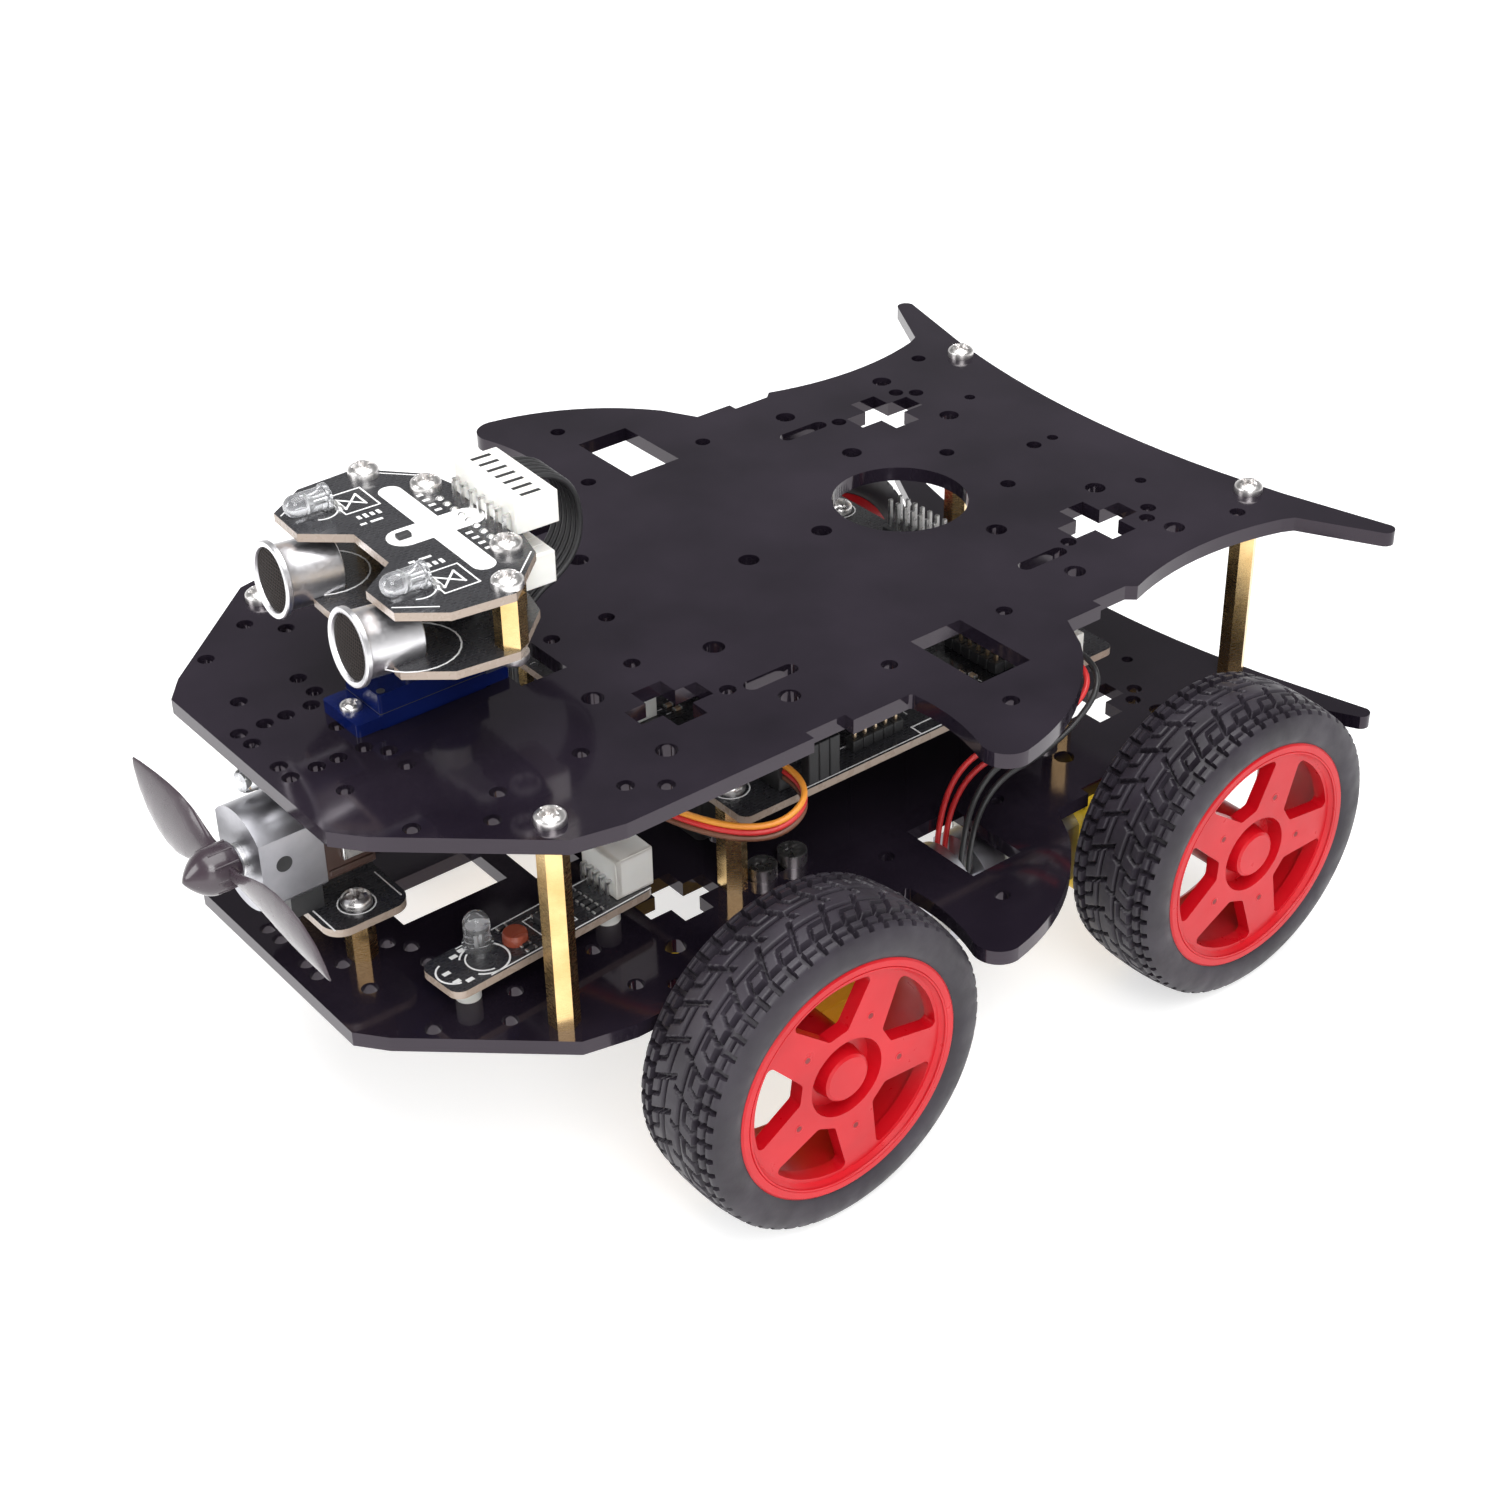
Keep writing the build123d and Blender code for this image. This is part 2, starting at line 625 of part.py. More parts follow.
with BuildPart() as lamp_connectors:
    blocks(both_sides([(57.5, 27.6, 9.0, 11.0, 8.5)]), lamp_top)
lamp_connectors.part.label = "lamp_connectors"
export_step(lamp_connectors.part, "parts/lamp_connectors.step")

# Pan servo in the upper deck's front window
pan_d = nose_x - pan_x
servo_mid = (servo_front + servo_rear) / 2
servo_top = upper_top + 6.8
boss_top = upper_top + 11.0
with BuildPart() as servo_body:
    with BuildSketch(Plane.XY.offset(upper_top - 18.5)):
        with Locations(at(servo_mid, 0)):
            RectangleRounded(servo_rear - servo_front, servo_w, 0.6)
    extrude(amount=18.5 + 6.8)
    with BuildSketch(Plane.XY.offset(upper_top)):
        with Locations(at(servo_mid, 0)):
            RectangleRounded(32.2, servo_w, 0.8)
        with Locations(*[at(d, 0) for d in servo_screws_d]):
            Circle(1.1, mode=Mode.SUBTRACT)
    extrude(amount=2.5)
    with BuildSketch(Plane.XY.offset(servo_top)):
        with Locations((pan_x, 0)):
            Circle(5.8)
        with Locations((pan_x + 6.0, 0)):
            Circle(2.6)
    extrude(amount=boss_top - servo_top)
    with BuildSketch(Plane.XY.offset(boss_top)):
        with Locations((pan_x, 0)):
            Circle(2.45)
    extrude(amount=-7.0, mode=Mode.SUBTRACT)
servo_body.part.label = "servo_body"
export_step(servo_body.part, "parts/servo_body.step")

with BuildPart() as servo_screws:
    screws([at(d, 0) for d in servo_screws_d], upper_top + 2.5, 5.0, shank=0.85, head_r=2.0, head_h=1.4)
servo_screws.part.label = "servo_screws"
export_step(servo_screws.part, "parts/servo_screws.step")


def head_plane(z):
    """Level plane at z whose drawing axes turn with the head, centred on the pan axis."""
    yaw = radians(pan_yaw)
    return Plane(origin=(pan_x, 0, z), x_dir=(cos(yaw), sin(yaw), 0), z_dir=(0, 0, 1))


# Horn with its splined shaft
with BuildPart() as servo_horn:
    with BuildSketch(head_plane(boss_top - 6.0)):
        Circle(2.4)
    extrude(amount=6.5)
    with BuildSketch(head_plane(boss_top + 0.5)):
        Circle(3.5)
    extrude(amount=head_low_z - boss_top - 0.5)
    with BuildSketch(head_plane(head_low_z - 1.8)):
        SlotOverall(16.0, 5.5, rotation=90)
        SlotOverall(28.0, 4.0, rotation=90)
    extrude(amount=1.8)
servo_horn.part.label = "servo_horn"
export_step(servo_horn.part, "parts/servo_horn.step")

head_edge = [(19.4, 21.9), (11.8, 27.5), (-0.2, 28.5), (-10.2, 18.4), (-12.0, 10.5)]
head_posts = [(-7.0, 14.0), (-0.4, 25.3)]


def head_outline(front):
    left = front + head_edge
    right = [(u, -v) for u, v in reversed(left)]
    with BuildLine() as edge:
        Polyline(*(left + right), close=True)
    make_face(edge.edges())
    with Locations(*[(u, s * v) for s in (1, -1) for u, v in head_posts]):
        Circle(m3_hole, mode=Mode.SUBTRACT)


with BuildPart() as head_lower_board:
    with BuildSketch(head_plane(head_low_z)):
        head_outline([(19.6, 6.0)])
        with Locations((12.8 + 6.0, ear_v), (12.8 + 6.0, -ear_v)):
            Rectangle(12.0, 10.6, mode=Mode.SUBTRACT)
    extrude(amount=board_t)
head_lower_board.part.label = "head_lower_board"
export_step(head_lower_board.part, "parts/head_lower_board.step")

with BuildPart() as head_upper_board:
    with BuildSketch(head_plane(head_up_z)):
        head_outline([(11.8, 6.3), (19.6, 12.5)])
    extrude(amount=board_t)
head_upper_board.part.label = "head_upper_board"
export_step(head_upper_board.part, "parts/head_upper_board.step")

head_post_points = [(u, s * v) for s in (1, -1) for u, v in head_posts]
with BuildPart() as head_spacers:
    with BuildSketch(head_plane(head_low_z + board_t)):
        with Locations(*head_post_points):
            RegularPolygon(standoff_af / 2, 6, major_radius=False, rotation=30)
            Circle(m3_bore, mode=Mode.SUBTRACT)
    extrude(amount=head_up_z - head_low_z - board_t)
head_spacers.part.label = "head_spacers"
export_step(head_spacers.part, "parts/head_spacers.step")

head_top = head_up_z + board_t
with BuildPart() as head_screws:
    for z, s in ((head_top, 1), (head_low_z, -1)):
        with BuildSketch(head_plane(z)):
            with Locations(*head_post_points):
                Circle(m3_head_r)
        extrude(amount=s * m3_head_h)
        with BuildSketch(head_plane(z)):
            with Locations(*head_post_points):
                Circle(m3_shank)
        extrude(amount=-s * (board_t + 3.5))
head_screws.part.label = "head_screws"
export_step(head_screws.part, "parts/head_screws.step")


# Ultrasonic transducers: a cup with a proud front rim, lying forward and tipped up a little
def head_point(u, v, z):
    yaw = radians(pan_yaw)
    return (pan_x + u * cos(yaw) - v * sin(yaw), u * sin(yaw) + v * cos(yaw), z)


def ear_plane(v, back):
    """Plane square to a transducer, a distance back from its face."""
    yaw = radians(pan_yaw)
    lift = radians(ear_tilt)
    out = (cos(lift) * cos(yaw), cos(lift) * sin(yaw), sin(lift))
    face = head_point(ear_u, v, ear_z)
    spot = tuple(f - back * o for f, o in zip(face, out))
    return Plane(origin=spot, x_dir=(-sin(yaw), cos(yaw), 0), z_dir=out)


with BuildPart() as transducers:
    for v in (ear_v, -ear_v):
        with BuildSketch(ear_plane(v, 12.0)):
            Circle(5.2)
        extrude(amount=11.4)
        with BuildSketch(ear_plane(v, 3.2)):
            Circle(6.2)
        extrude(amount=2.6)
        with BuildSketch(ear_plane(v, 1.2)):
            Circle(7.15)
        extrude(amount=1.2)
        with BuildSketch(ear_plane(v, 0.0)):
            Circle(5.9)
        extrude(amount=-0.6, mode=Mode.SUBTRACT)
        for pin in (-2.5, 2.5):
            with BuildSketch(head_plane(head_low_z + board_t)):
                with Locations((12.15, v + pin)):
                    Rectangle(0.7, 0.7)
            extrude(amount=2.7)
            with BuildSketch(head_plane(head_low_z + board_t + 2.0)):
                with Locations((12.65, v + pin)):
                    Rectangle(1.7, 0.7)
            extrude(amount=0.7)
transducers.part.label = "transducers"
export_step(transducers.part, "parts/transducers.step")

with BuildPart() as head_leds:
    for v in (17.5, -17.5):
        yaw = radians(pan_yaw)
        base = head_point(10.6, v, head_top + 2.52)
        lens = Plane(origin=base, x_dir=(-sin(yaw), cos(yaw), 0), z_dir=(cos(yaw), sin(yaw), 0))
        with BuildSketch(lens):
            Circle(2.5)
        extrude(amount=6.0)
        with Locations(head_point(16.6, v, head_top + 2.52)):
            Sphere(2.5)
head_leds.part.label = "head_leds"
export_step(head_leds.part, "parts/head_leds.step")

plug_u = -19.5
with BuildPart() as head_connectors:
    with BuildSketch(head_plane(head_top)):
        with Locations((plug_u + 5.25, 1.0)):
            Rectangle(10.5, 21.0)
    extrude(amount=6.4)
    with BuildSketch(head_plane(head_low_z + board_t)):
        with Locations((-14.0, 5.5)):
            Rectangle(8.0, 12.5)
    extrude(amount=6.4)
head_connectors.part.label = "head_connectors"
export_step(head_connectors.part, "parts/head_connectors.step")


# Leads
def bend_radii(points, share=0.45):
    """One radius for each corner, from its shorter run and its turn."""
    radii = []
    for a, b, c in zip(points, points[1:], points[2:]):
        p = Vector(*b) - Vector(*a)
        q = Vector(*c) - Vector(*b)
        half = radians(p.get_angle(q)) / 2
        radii.append(share * min(p.length, q.length) / tan(half))
    return radii


def lead(points, r):
    """Round wire through the points, bent with a radius at every corner."""
    radii = bend_radii(points)
    with BuildLine() as path:
        FilletPolyline(*points, radius=radii)
    wire = path.wire()
    with BuildSketch(Plane(origin=wire @ 0, z_dir=wire % 0)) as section:
        Circle(r)
    tube = sweep(section.sketch, path=wire)
    ratio = tube.volume / (wire.length * pi * r * r)
    print("lead radii", [round(v, 1) for v in radii], "volume over length x section", round(ratio, 4))


wire_r = 0.6
servo_lead_path = [(46.5, 3.4, 75.2), (56.5, 3.4, 75.2), (61, 34, 70.5), (74, 52, 67.6)]
servo_lead_path += [(plug_d, plug_y + 10, 72.6), (plug_d, plug_y, 72.6)]
with BuildPart() as servo_lead:
    for k in (-1, 0, 1):
        lead([(nose_x - d, y, z + 1.3 * k) for d, y, z in servo_lead_path], wire_r)
servo_lead.part.label = "servo_lead"
export_step(servo_lead.part, "parts/servo_lead.step")

# Motor wires: start d, start y, rise height, side way d, y, z, then the plug pin
motor_wires = [(122.2, 44.5, 58.0, 141.0, 50.2, 63.2, 150.5)]
motor_wires += [(122.2, 51.5, 58.0, 143.0, 52.6, 61.6, 153.0)]
motor_wires += [(124.3, 44.5, 55.5, 146.0, 50.2, 60.0, 155.5)]
motor_wires += [(124.3, 51.5, 55.5, 148.0, 52.6, 58.4, 158.0)]
wire_end_y = board_half
wire_end_z = board_top + 3.2
for side, s in sides:
    with BuildPart() as wires:
        for d0, y0, z1, d2, y2, z2, d3 in motor_wires:
            way = [(d0, y0, 37.0), (d0, y0, z1), (d2, y2, z2), (d3, 54.4, wire_end_z)]
            way += [(d3, wire_end_y, wire_end_z)]
            lead([(nose_x - d, s * y, z) for d, y, z in way], wire_r)
    wires.part.label = side + "_motor_wires"
    export_step(wires.part, "parts/" + side + "_motor_wires.step")

# Head cable: parallel wires from the upper board's plug down through the deck window
cable_z = head_top + 3.2
cable_path = [(plug_u, cable_z), (-29.5, cable_z), (-31.5, 106.0), (-14.8, 98.0), (-14.8, 72.0)]
cable_path += [(pan_d - cable_face_d + 0.4, 72.0)]
with BuildPart() as head_cable:
    for k in range(6):
        v = -8.6 + 1.6 * k
        lead([head_point(u, v, z) for u, z in cable_path], wire_r)
head_cable.part.label = "head_cable"
export_step(head_cable.part, "parts/head_cable.step")
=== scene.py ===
"""Looks for the two-deck wheeled robot with a pan head and a nose fan."""
import json
import math
import random

import bmesh
import bpy
from mathutils import Matrix, Vector


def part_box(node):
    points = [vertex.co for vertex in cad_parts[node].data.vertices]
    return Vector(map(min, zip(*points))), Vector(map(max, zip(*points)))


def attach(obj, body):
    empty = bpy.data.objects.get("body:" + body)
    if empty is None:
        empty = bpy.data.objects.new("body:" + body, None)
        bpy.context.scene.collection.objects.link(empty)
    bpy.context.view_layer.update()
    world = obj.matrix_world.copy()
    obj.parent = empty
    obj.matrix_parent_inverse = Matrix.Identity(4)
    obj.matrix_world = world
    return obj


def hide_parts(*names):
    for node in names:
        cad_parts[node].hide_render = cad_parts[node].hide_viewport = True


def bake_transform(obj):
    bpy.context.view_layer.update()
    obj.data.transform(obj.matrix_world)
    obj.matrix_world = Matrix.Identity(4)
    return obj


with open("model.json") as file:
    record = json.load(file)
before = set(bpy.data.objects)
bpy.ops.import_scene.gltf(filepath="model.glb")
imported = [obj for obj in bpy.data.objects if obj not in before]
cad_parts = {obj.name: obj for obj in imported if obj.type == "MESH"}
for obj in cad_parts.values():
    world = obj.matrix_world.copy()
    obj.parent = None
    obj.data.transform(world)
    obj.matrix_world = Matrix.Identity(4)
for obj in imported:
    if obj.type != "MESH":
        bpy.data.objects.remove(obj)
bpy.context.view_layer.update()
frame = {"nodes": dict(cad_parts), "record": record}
random.seed(7)

MM = 0.001
BODY = "chassis"
HEAD = "pan_head"
BOTH = (1, -1)
SIDES = (("left", 1), ("right", -1))
WHEELS = [(end, side, s) for end in ("front", "rear") for side, s in SIDES]
AXLE_Z = 32.5
PIN_PITCH = 2.54
CHIP_PITCH = 1.27

# Bolt places: distance behind the decks' front edge, distance from the middle
DECK_BOLTS = [(30.5, 48.6), (206.9, 43.2)]
BOARD_BOLTS = [(78.8, 35.0), (164.1, 35.0)]
FAN_BOARD_BOLTS = [(13.3, 9.0)]
BRACKET_BOLTS = [(84.7, 36.6), (92.0, 36.6), (151.25, 36.6), (158.55, 36.6)]
# The head's own bolts: x and y from the pan axis
HEAD_BOLTS = [(-7.0, 14.0), (-0.4, 25.3)]


def low(node):
    return Vector(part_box(node)[0]) / MM


def high(node):
    return Vector(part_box(node)[1]) / MM


# Levels and places, in millimetres, read from the frame
nose = high("upper_deck").x
deck_low_top = high("lower_deck").z
deck_up_under = low("upper_deck").z
deck_up_top = high("upper_deck").z
board_top = high("controller_board").z
lamp_top = high("left_lamp_board").z
fan_board_top = high("fan_board").z
head_low_top = high("head_lower_board").z
head_top = high("head_upper_board").z
fan_z = (low("fan_motor").z + high("fan_motor").z) / 2
joints = {j["name"]: j for j in frame["record"]["behaviour"]["joints"]}
pan_x = joints["head_pan"]["pos_m"][0] / MM
pan_yaw = math.radians(-3.0)
head_frame = Matrix.Translation((pan_x, 0, 0)) @ Matrix.Rotation(pan_yaw, 4, "Z")


def at(d, y, z):
    """Point d behind the decks' front edge."""
    return Vector((nose - d, y, z))


def around(steps):
    """Angles of even steps round a circle."""
    return [2 * math.pi * k / steps for k in range(steps)]


# ---- Materials

def feed(tree, socket, value):
    """Links another node's output to the socket, or sets it to a plain value."""
    if isinstance(value, bpy.types.NodeSocket):
        tree.links.new(value, socket)
    else:
        socket.default_value = value


def add_node(tree, kind, **sockets):
    """A new shader node with its sockets fed; _ stands for a space in their names."""
    made = tree.nodes.new("ShaderNode" + kind)
    for key, value in sockets.items():
        feed(tree, made.inputs[key.replace("_", " ")], value)
    return made


def maths(tree, operation, one, two):
    made = add_node(tree, "Math")
    made.operation = operation
    feed(tree, made.inputs[0], one)
    feed(tree, made.inputs[1], two)
    return made.outputs[0]


def shader(name, colour, rough=0.5, metal=0.0, **sockets):
    """A principled material; returns it with its node tree and shader."""
    mat = bpy.data.materials.new(name)
    mat.use_nodes = True
    tree = mat.node_tree
    bsdf = tree.nodes["Principled BSDF"]
    values = {"Base_Color": (*colour, 1), "Roughness": rough, "Metallic": metal, **sockets}
    for key, value in values.items():
        feed(tree, bsdf.inputs[key.replace("_", " ")], value)
    return mat, tree, bsdf


def place_coords(tree, scale=(1, 1, 1)):
    """Object coordinates, which are the frame's metres, stretched by scale."""
    coord = add_node(tree, "TexCoord")
    return add_node(tree, "Mapping", Scale=scale, Vector=coord.outputs["Object"]).outputs["Vector"]


def noise(tree, scale, detail=4.0, stretch=(1, 1, 1)):
    coords = place_coords(tree, stretch)
    return add_node(tree, "TexNoise", Scale=scale, Detail=detail, Vector=coords).outputs["Fac"]


def ramp(tree, fac, stops):
    made = add_node(tree, "ValToRGB", Fac=fac)
    elements = made.color_ramp.elements
    while len(elements) < len(stops):
        elements.new(0.5)
    for element, (place, colour) in zip(elements, stops):
        element.position = place
        element.color = (*colour, 1)
    return made.outputs["Color"]


def vary_colour(tree, bsdf, fac, dark, light):
    tree.links.new(ramp(tree, fac, [(0.3, dark), (0.7, light)]), bsdf.inputs["Base Color"])


def vary_rough(tree, bsdf, fac, least, most):
    drift = add_node(tree, "MapRange", Value=fac, From_Min=0.3, From_Max=0.7, To_Min=least, To_Max=most)
    tree.links.new(drift.outputs["Result"], bsdf.inputs["Roughness"])


def bump(tree, bsdf, fac, strength, depth):
    relief = add_node(tree, "Bump", Strength=strength, Distance=depth, Height=fac)
    tree.links.new(relief.outputs["Normal"], bsdf.inputs["Normal"])


def moulded(name, dark, light, rough=0.35, grain=2200, depth=0.00004, **sockets):
    """Moulded plastic or rubber: faint colour drift, fine grain and uneven gloss."""
    mat, tree, bsdf = shader(name, light, rough, **sockets)
    vary_colour(tree, bsdf, noise(tree, 60), dark, light)
    vary_rough(tree, bsdf, noise(tree, 300), rough * 0.85, min(rough * 1.25, 1))
    bump(tree, bsdf, noise(tree, grain, 2), 0.35, depth)
    return mat


def metal(name, dark, light, rough, stretch=(1, 1, 12), grain=900):
    """Metal with drawn or turned marks along one direction."""
    mat, tree, bsdf = shader(name, light, rough, 1.0)
    marks = noise(tree, grain, 3, stretch)
    vary_colour(tree, bsdf, noise(tree, 120), dark, light)
    vary_rough(tree, bsdf, marks, rough * 0.85, rough * 1.15)
    bump(tree, bsdf, marks, 0.08, 0.000006)
    return mat


def acrylic():
    """Polished black sheet with faint dust and hairline scratches."""
    mat, tree, bsdf = shader(
        "acrylic", (0.010, 0.007, 0.012), 0.08, IOR=1.49, Specular_Tint=(1.0, 0.88, 0.98, 1)
    )
    vary_colour(tree, bsdf, noise(tree, 35), (0.007, 0.005, 0.009), (0.016, 0.012, 0.019))
    scratches = noise(tree, 420, 6, (1, 14, 1))
    vary_rough(tree, bsdf, scratches, 0.06, 0.13)
    bump(tree, bsdf, noise(tree, 45, 1), 0.04, 0.0001)
    return mat


def board_mask():
    """Black solder mask over square copper tracks; upright faces show the board's pale core."""
    mat, tree, bsdf = shader("solder_mask", (0.012, 0.013, 0.016), 0.28, Coat_Weight=0.4)
    tracks = add_node(
        tree, "TexBrick", Scale=330, Mortar_Size=0.06, Color1=(0.010, 0.010, 0.012, 1),
        Color2=(0.018, 0.018, 0.021, 1), Mortar=(0.030, 0.030, 0.034, 1), Vector=place_coords(tree)
    )
    split = add_node(tree, "SeparateXYZ", Vector=add_node(tree, "NewGeometry").outputs["Normal"])
    is_face = maths(tree, "GREATER_THAN", maths(tree, "ABSOLUTE", split.outputs["Z"], 0), 0.6)
    mix = add_node(tree, "Mix")
    mix.data_type = "RGBA"
    feed(tree, mix.inputs["Factor"], is_face)
    feed(tree, mix.inputs["A"], (0.34, 0.27, 0.22, 1))
    feed(tree, mix.inputs["B"], tracks.outputs["Color"])
    tree.links.new(mix.outputs["Result"], bsdf.inputs["Base Color"])
    vary_rough(tree, bsdf, noise(tree, 500), 0.2, 0.36)
    bump(tree, bsdf, tracks.outputs["Fac"], 0.3, 0.00003)
    return mat


def tyre_rubber():
    mat, tree, bsdf = shader("tyre_rubber", (0.02, 0.017, 0.023), 0.5, Specular_IOR_Level=0.38)
    vary_colour(tree, bsdf, noise(tree, 90), (0.014, 0.011, 0.016), (0.029, 0.024, 0.033))
    vary_rough(tree, bsdf, noise(tree, 260), 0.36, 0.58)
    bump(tree, bsdf, noise(tree, 1500, 3), 0.3, 0.00005)
    return mat


def lens(name, colour, rough=0.04, weight=0.92):
    mat, tree, bsdf = shader(name, colour, rough, IOR=1.5, Transmission_Weight=weight)
    vary_rough(tree, bsdf, noise(tree, 700), rough, rough * 2)
    bump(tree, bsdf, noise(tree, 180, 1), 0.05, 0.0001)
    return mat


def mesh_screen():
    """Dark woven screen behind a transducer's rim."""
    mat, tree, bsdf = shader("screen", (0.008, 0.006, 0.006), 0.7, Specular_IOR_Level=0.15)
    waves = []
    for direction in ("Y", "Z"):
        wave = add_node(tree, "TexWave", Scale=480, Vector=place_coords(tree))
        wave.bands_direction = direction
        waves.append(wave.outputs["Fac"])
    weave = maths(tree, "MAXIMUM", *waves)
    shade = ramp(tree, weave, [(0.5, (0.002, 0.002, 0.002)), (0.95, (0.030, 0.022, 0.020))])
    tree.links.new(shade, bsdf.inputs["Base Color"])
    bump(tree, bsdf, weave, 0.8, 0.0002)
    return mat


LOOKS = {
    "acrylic": acrylic(),
    "mask": board_mask(),
    "brass": metal("brass", (0.62, 0.40, 0.16), (0.86, 0.62, 0.30), 0.26),
    "steel": metal("screw_steel", (0.66, 0.64, 0.63), (0.88, 0.86, 0.85), 0.3, (1, 1, 1), 600),
    "can": metal("can_steel", (0.36, 0.36, 0.39), (0.50, 0.50, 0.53), 0.36, (14, 1, 1)),
    "rim_ring": metal("rim_silver", (0.72, 0.71, 0.73), (0.90, 0.89, 0.91), 0.34, (1, 1, 1), 1400),
    "solder": metal("solder", (0.62, 0.62, 0.62), (0.86, 0.86, 0.85), 0.3, (1, 1, 1), 1500),
    "gold": metal("gold", (0.80, 0.58, 0.36), (0.96, 0.78, 0.56), 0.34, (1, 1, 1), 1500),
    "aluminium": metal("aluminium", (0.62, 0.62, 0.63), (0.82, 0.82, 0.83), 0.38, (12, 1, 1)),
    "chip": moulded("chip", (0.016, 0.016, 0.017), (0.034, 0.034, 0.036), 0.5, 3000),
    "header": moulded("header", (0.014, 0.014, 0.015), (0.030, 0.030, 0.032), 0.42, 2500),
    "nylon": moulded("nylon", (0.76, 0.74, 0.69), (0.90, 0.88, 0.84), 0.38, 1800,
                     Subsurface_Weight=0.08),
    "yellow": moulded("gear_yellow", (0.80, 0.50, 0.02), (0.90, 0.62, 0.04), 0.36, 1500),
    "red": moulded("rim_red", (0.42, 0.002, 0.007), (0.53, 0.005, 0.012), 0.32, 900, 0.00002,
                   Specular_IOR_Level=0.35),
    # Dark red for the discs in the rims' dimples: painted shade of their hollows
    "dimple_shade_red": moulded("rim_dimple_painted_shade", (0.14, 0.002, 0.003), (0.20, 0.004, 0.005), 0.5, 900),
    "rubber": tyre_rubber(),
    "holder": moulded("holder", (0.016, 0.016, 0.017), (0.032, 0.032, 0.034), 0.5, 1600),
    "wrap": moulded("cell_wrap", (0.05, 0.16, 0.28), (0.08, 0.24, 0.40), 0.25, 500),
    "servo": moulded("servo_blue", (0.002, 0.006, 0.055), (0.005, 0.014, 0.11), 0.16, 900,
                     Transmission_Weight=0.15),
    "bell": moulded("bell_brown", (0.035, 0.018, 0.014), (0.085, 0.045, 0.034), 0.42, 1800),
    "prop": moulded("prop_black", (0.030, 0.020, 0.027), (0.060, 0.043, 0.054), 0.24, 500, 0.00001,
                    Coat_Weight=0.3),
    "orange": moulded("lead_orange", (0.66, 0.20, 0.02), (0.84, 0.34, 0.04), 0.4, 1200),
    "wire_red": moulded("wire_red", (0.42, 0.012, 0.014), (0.62, 0.03, 0.03), 0.38, 1200),
    "brown": moulded("lead_brown", (0.10, 0.035, 0.018), (0.19, 0.075, 0.04), 0.42, 1200),
    "black_wire": moulded("wire_black", (0.012, 0.012, 0.013), (0.030, 0.030, 0.032), 0.4, 1200),
    "cap_orange": moulded("cap_orange", (0.62, 0.22, 0.03), (0.82, 0.38, 0.06), 0.35, 1500),
    "silk": moulded("silk", (0.74, 0.74, 0.74), (0.88, 0.88, 0.88), 0.55, 2500),
    "sensor": moulded("sensor_red", (0.20, 0.035, 0.018), (0.42, 0.10, 0.05), 0.25, 1500),
    "ceramic": moulded("ceramic", (0.40, 0.28, 0.18), (0.60, 0.46, 0.32), 0.45, 2500),
    "label": moulded("label", (0.52, 0.48, 0.50), (0.66, 0.60, 0.62), 0.45, 800),
    "clear": lens("clear_lens", (0.96, 0.97, 1.0)),
    "strap": lens("clear_strap", (0.95, 0.93, 0.85), 0.1, 0.8),
    "screen": mesh_screen(),
}

# The CAD nodes that each look covers
NODE_LOOKS = {
    "acrylic": ["lower_deck", "upper_deck"],
    "mask": ["controller_board", "fan_board", "left_lamp_board", "right_lamp_board", "head_lower_board",
             "head_upper_board"],
    "brass": ["deck_standoffs", "board_standoffs", "head_spacers"],
    "chip": ["controller_chips"],
    "header": ["controller_headers"],
    "holder": ["battery_box", "fan_saddle"],
    "wrap": ["battery_cells"],
    "aluminium": ["motor_brackets"],
    "steel": ["motor_screws", "board_screws", "deck_screws", "servo_screws", "head_screws"],
    "servo": ["servo_body"],
    "nylon": ["servo_horn", "lamp_spacers", "head_connectors", "controller_connectors", "lamp_connectors"],
    "can": ["fan_motor"],
    "bell": ["fan_end_bell"],
    "sensor": ["light_sensors"],
    "rim_ring": ["transducers"],
}
for end, side, _ in WHEELS:
    for look, kind in (("yellow", "gearbox"), ("can", "motor"), ("red", "rim"), ("nylon", "axle")):
        NODE_LOOKS.setdefault(look, []).append(f"{end}_{side}_{kind}")
for look, nodes in NODE_LOOKS.items():
    for node in nodes:
        data = frame["nodes"][node].data
        data.materials.clear()
        data.materials.append(LOOKS[look])


def new_object(name, data):
    made = bpy.data.objects.new(name, data)
    bpy.context.scene.collection.objects.link(made)
    return made


def claim(piece, body, nodes):
    """Gives a piece its body and the CAD nodes that it stands for."""
    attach(piece, body)
    for node in nodes:
        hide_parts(node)
    return piece


# ---- Mesh building

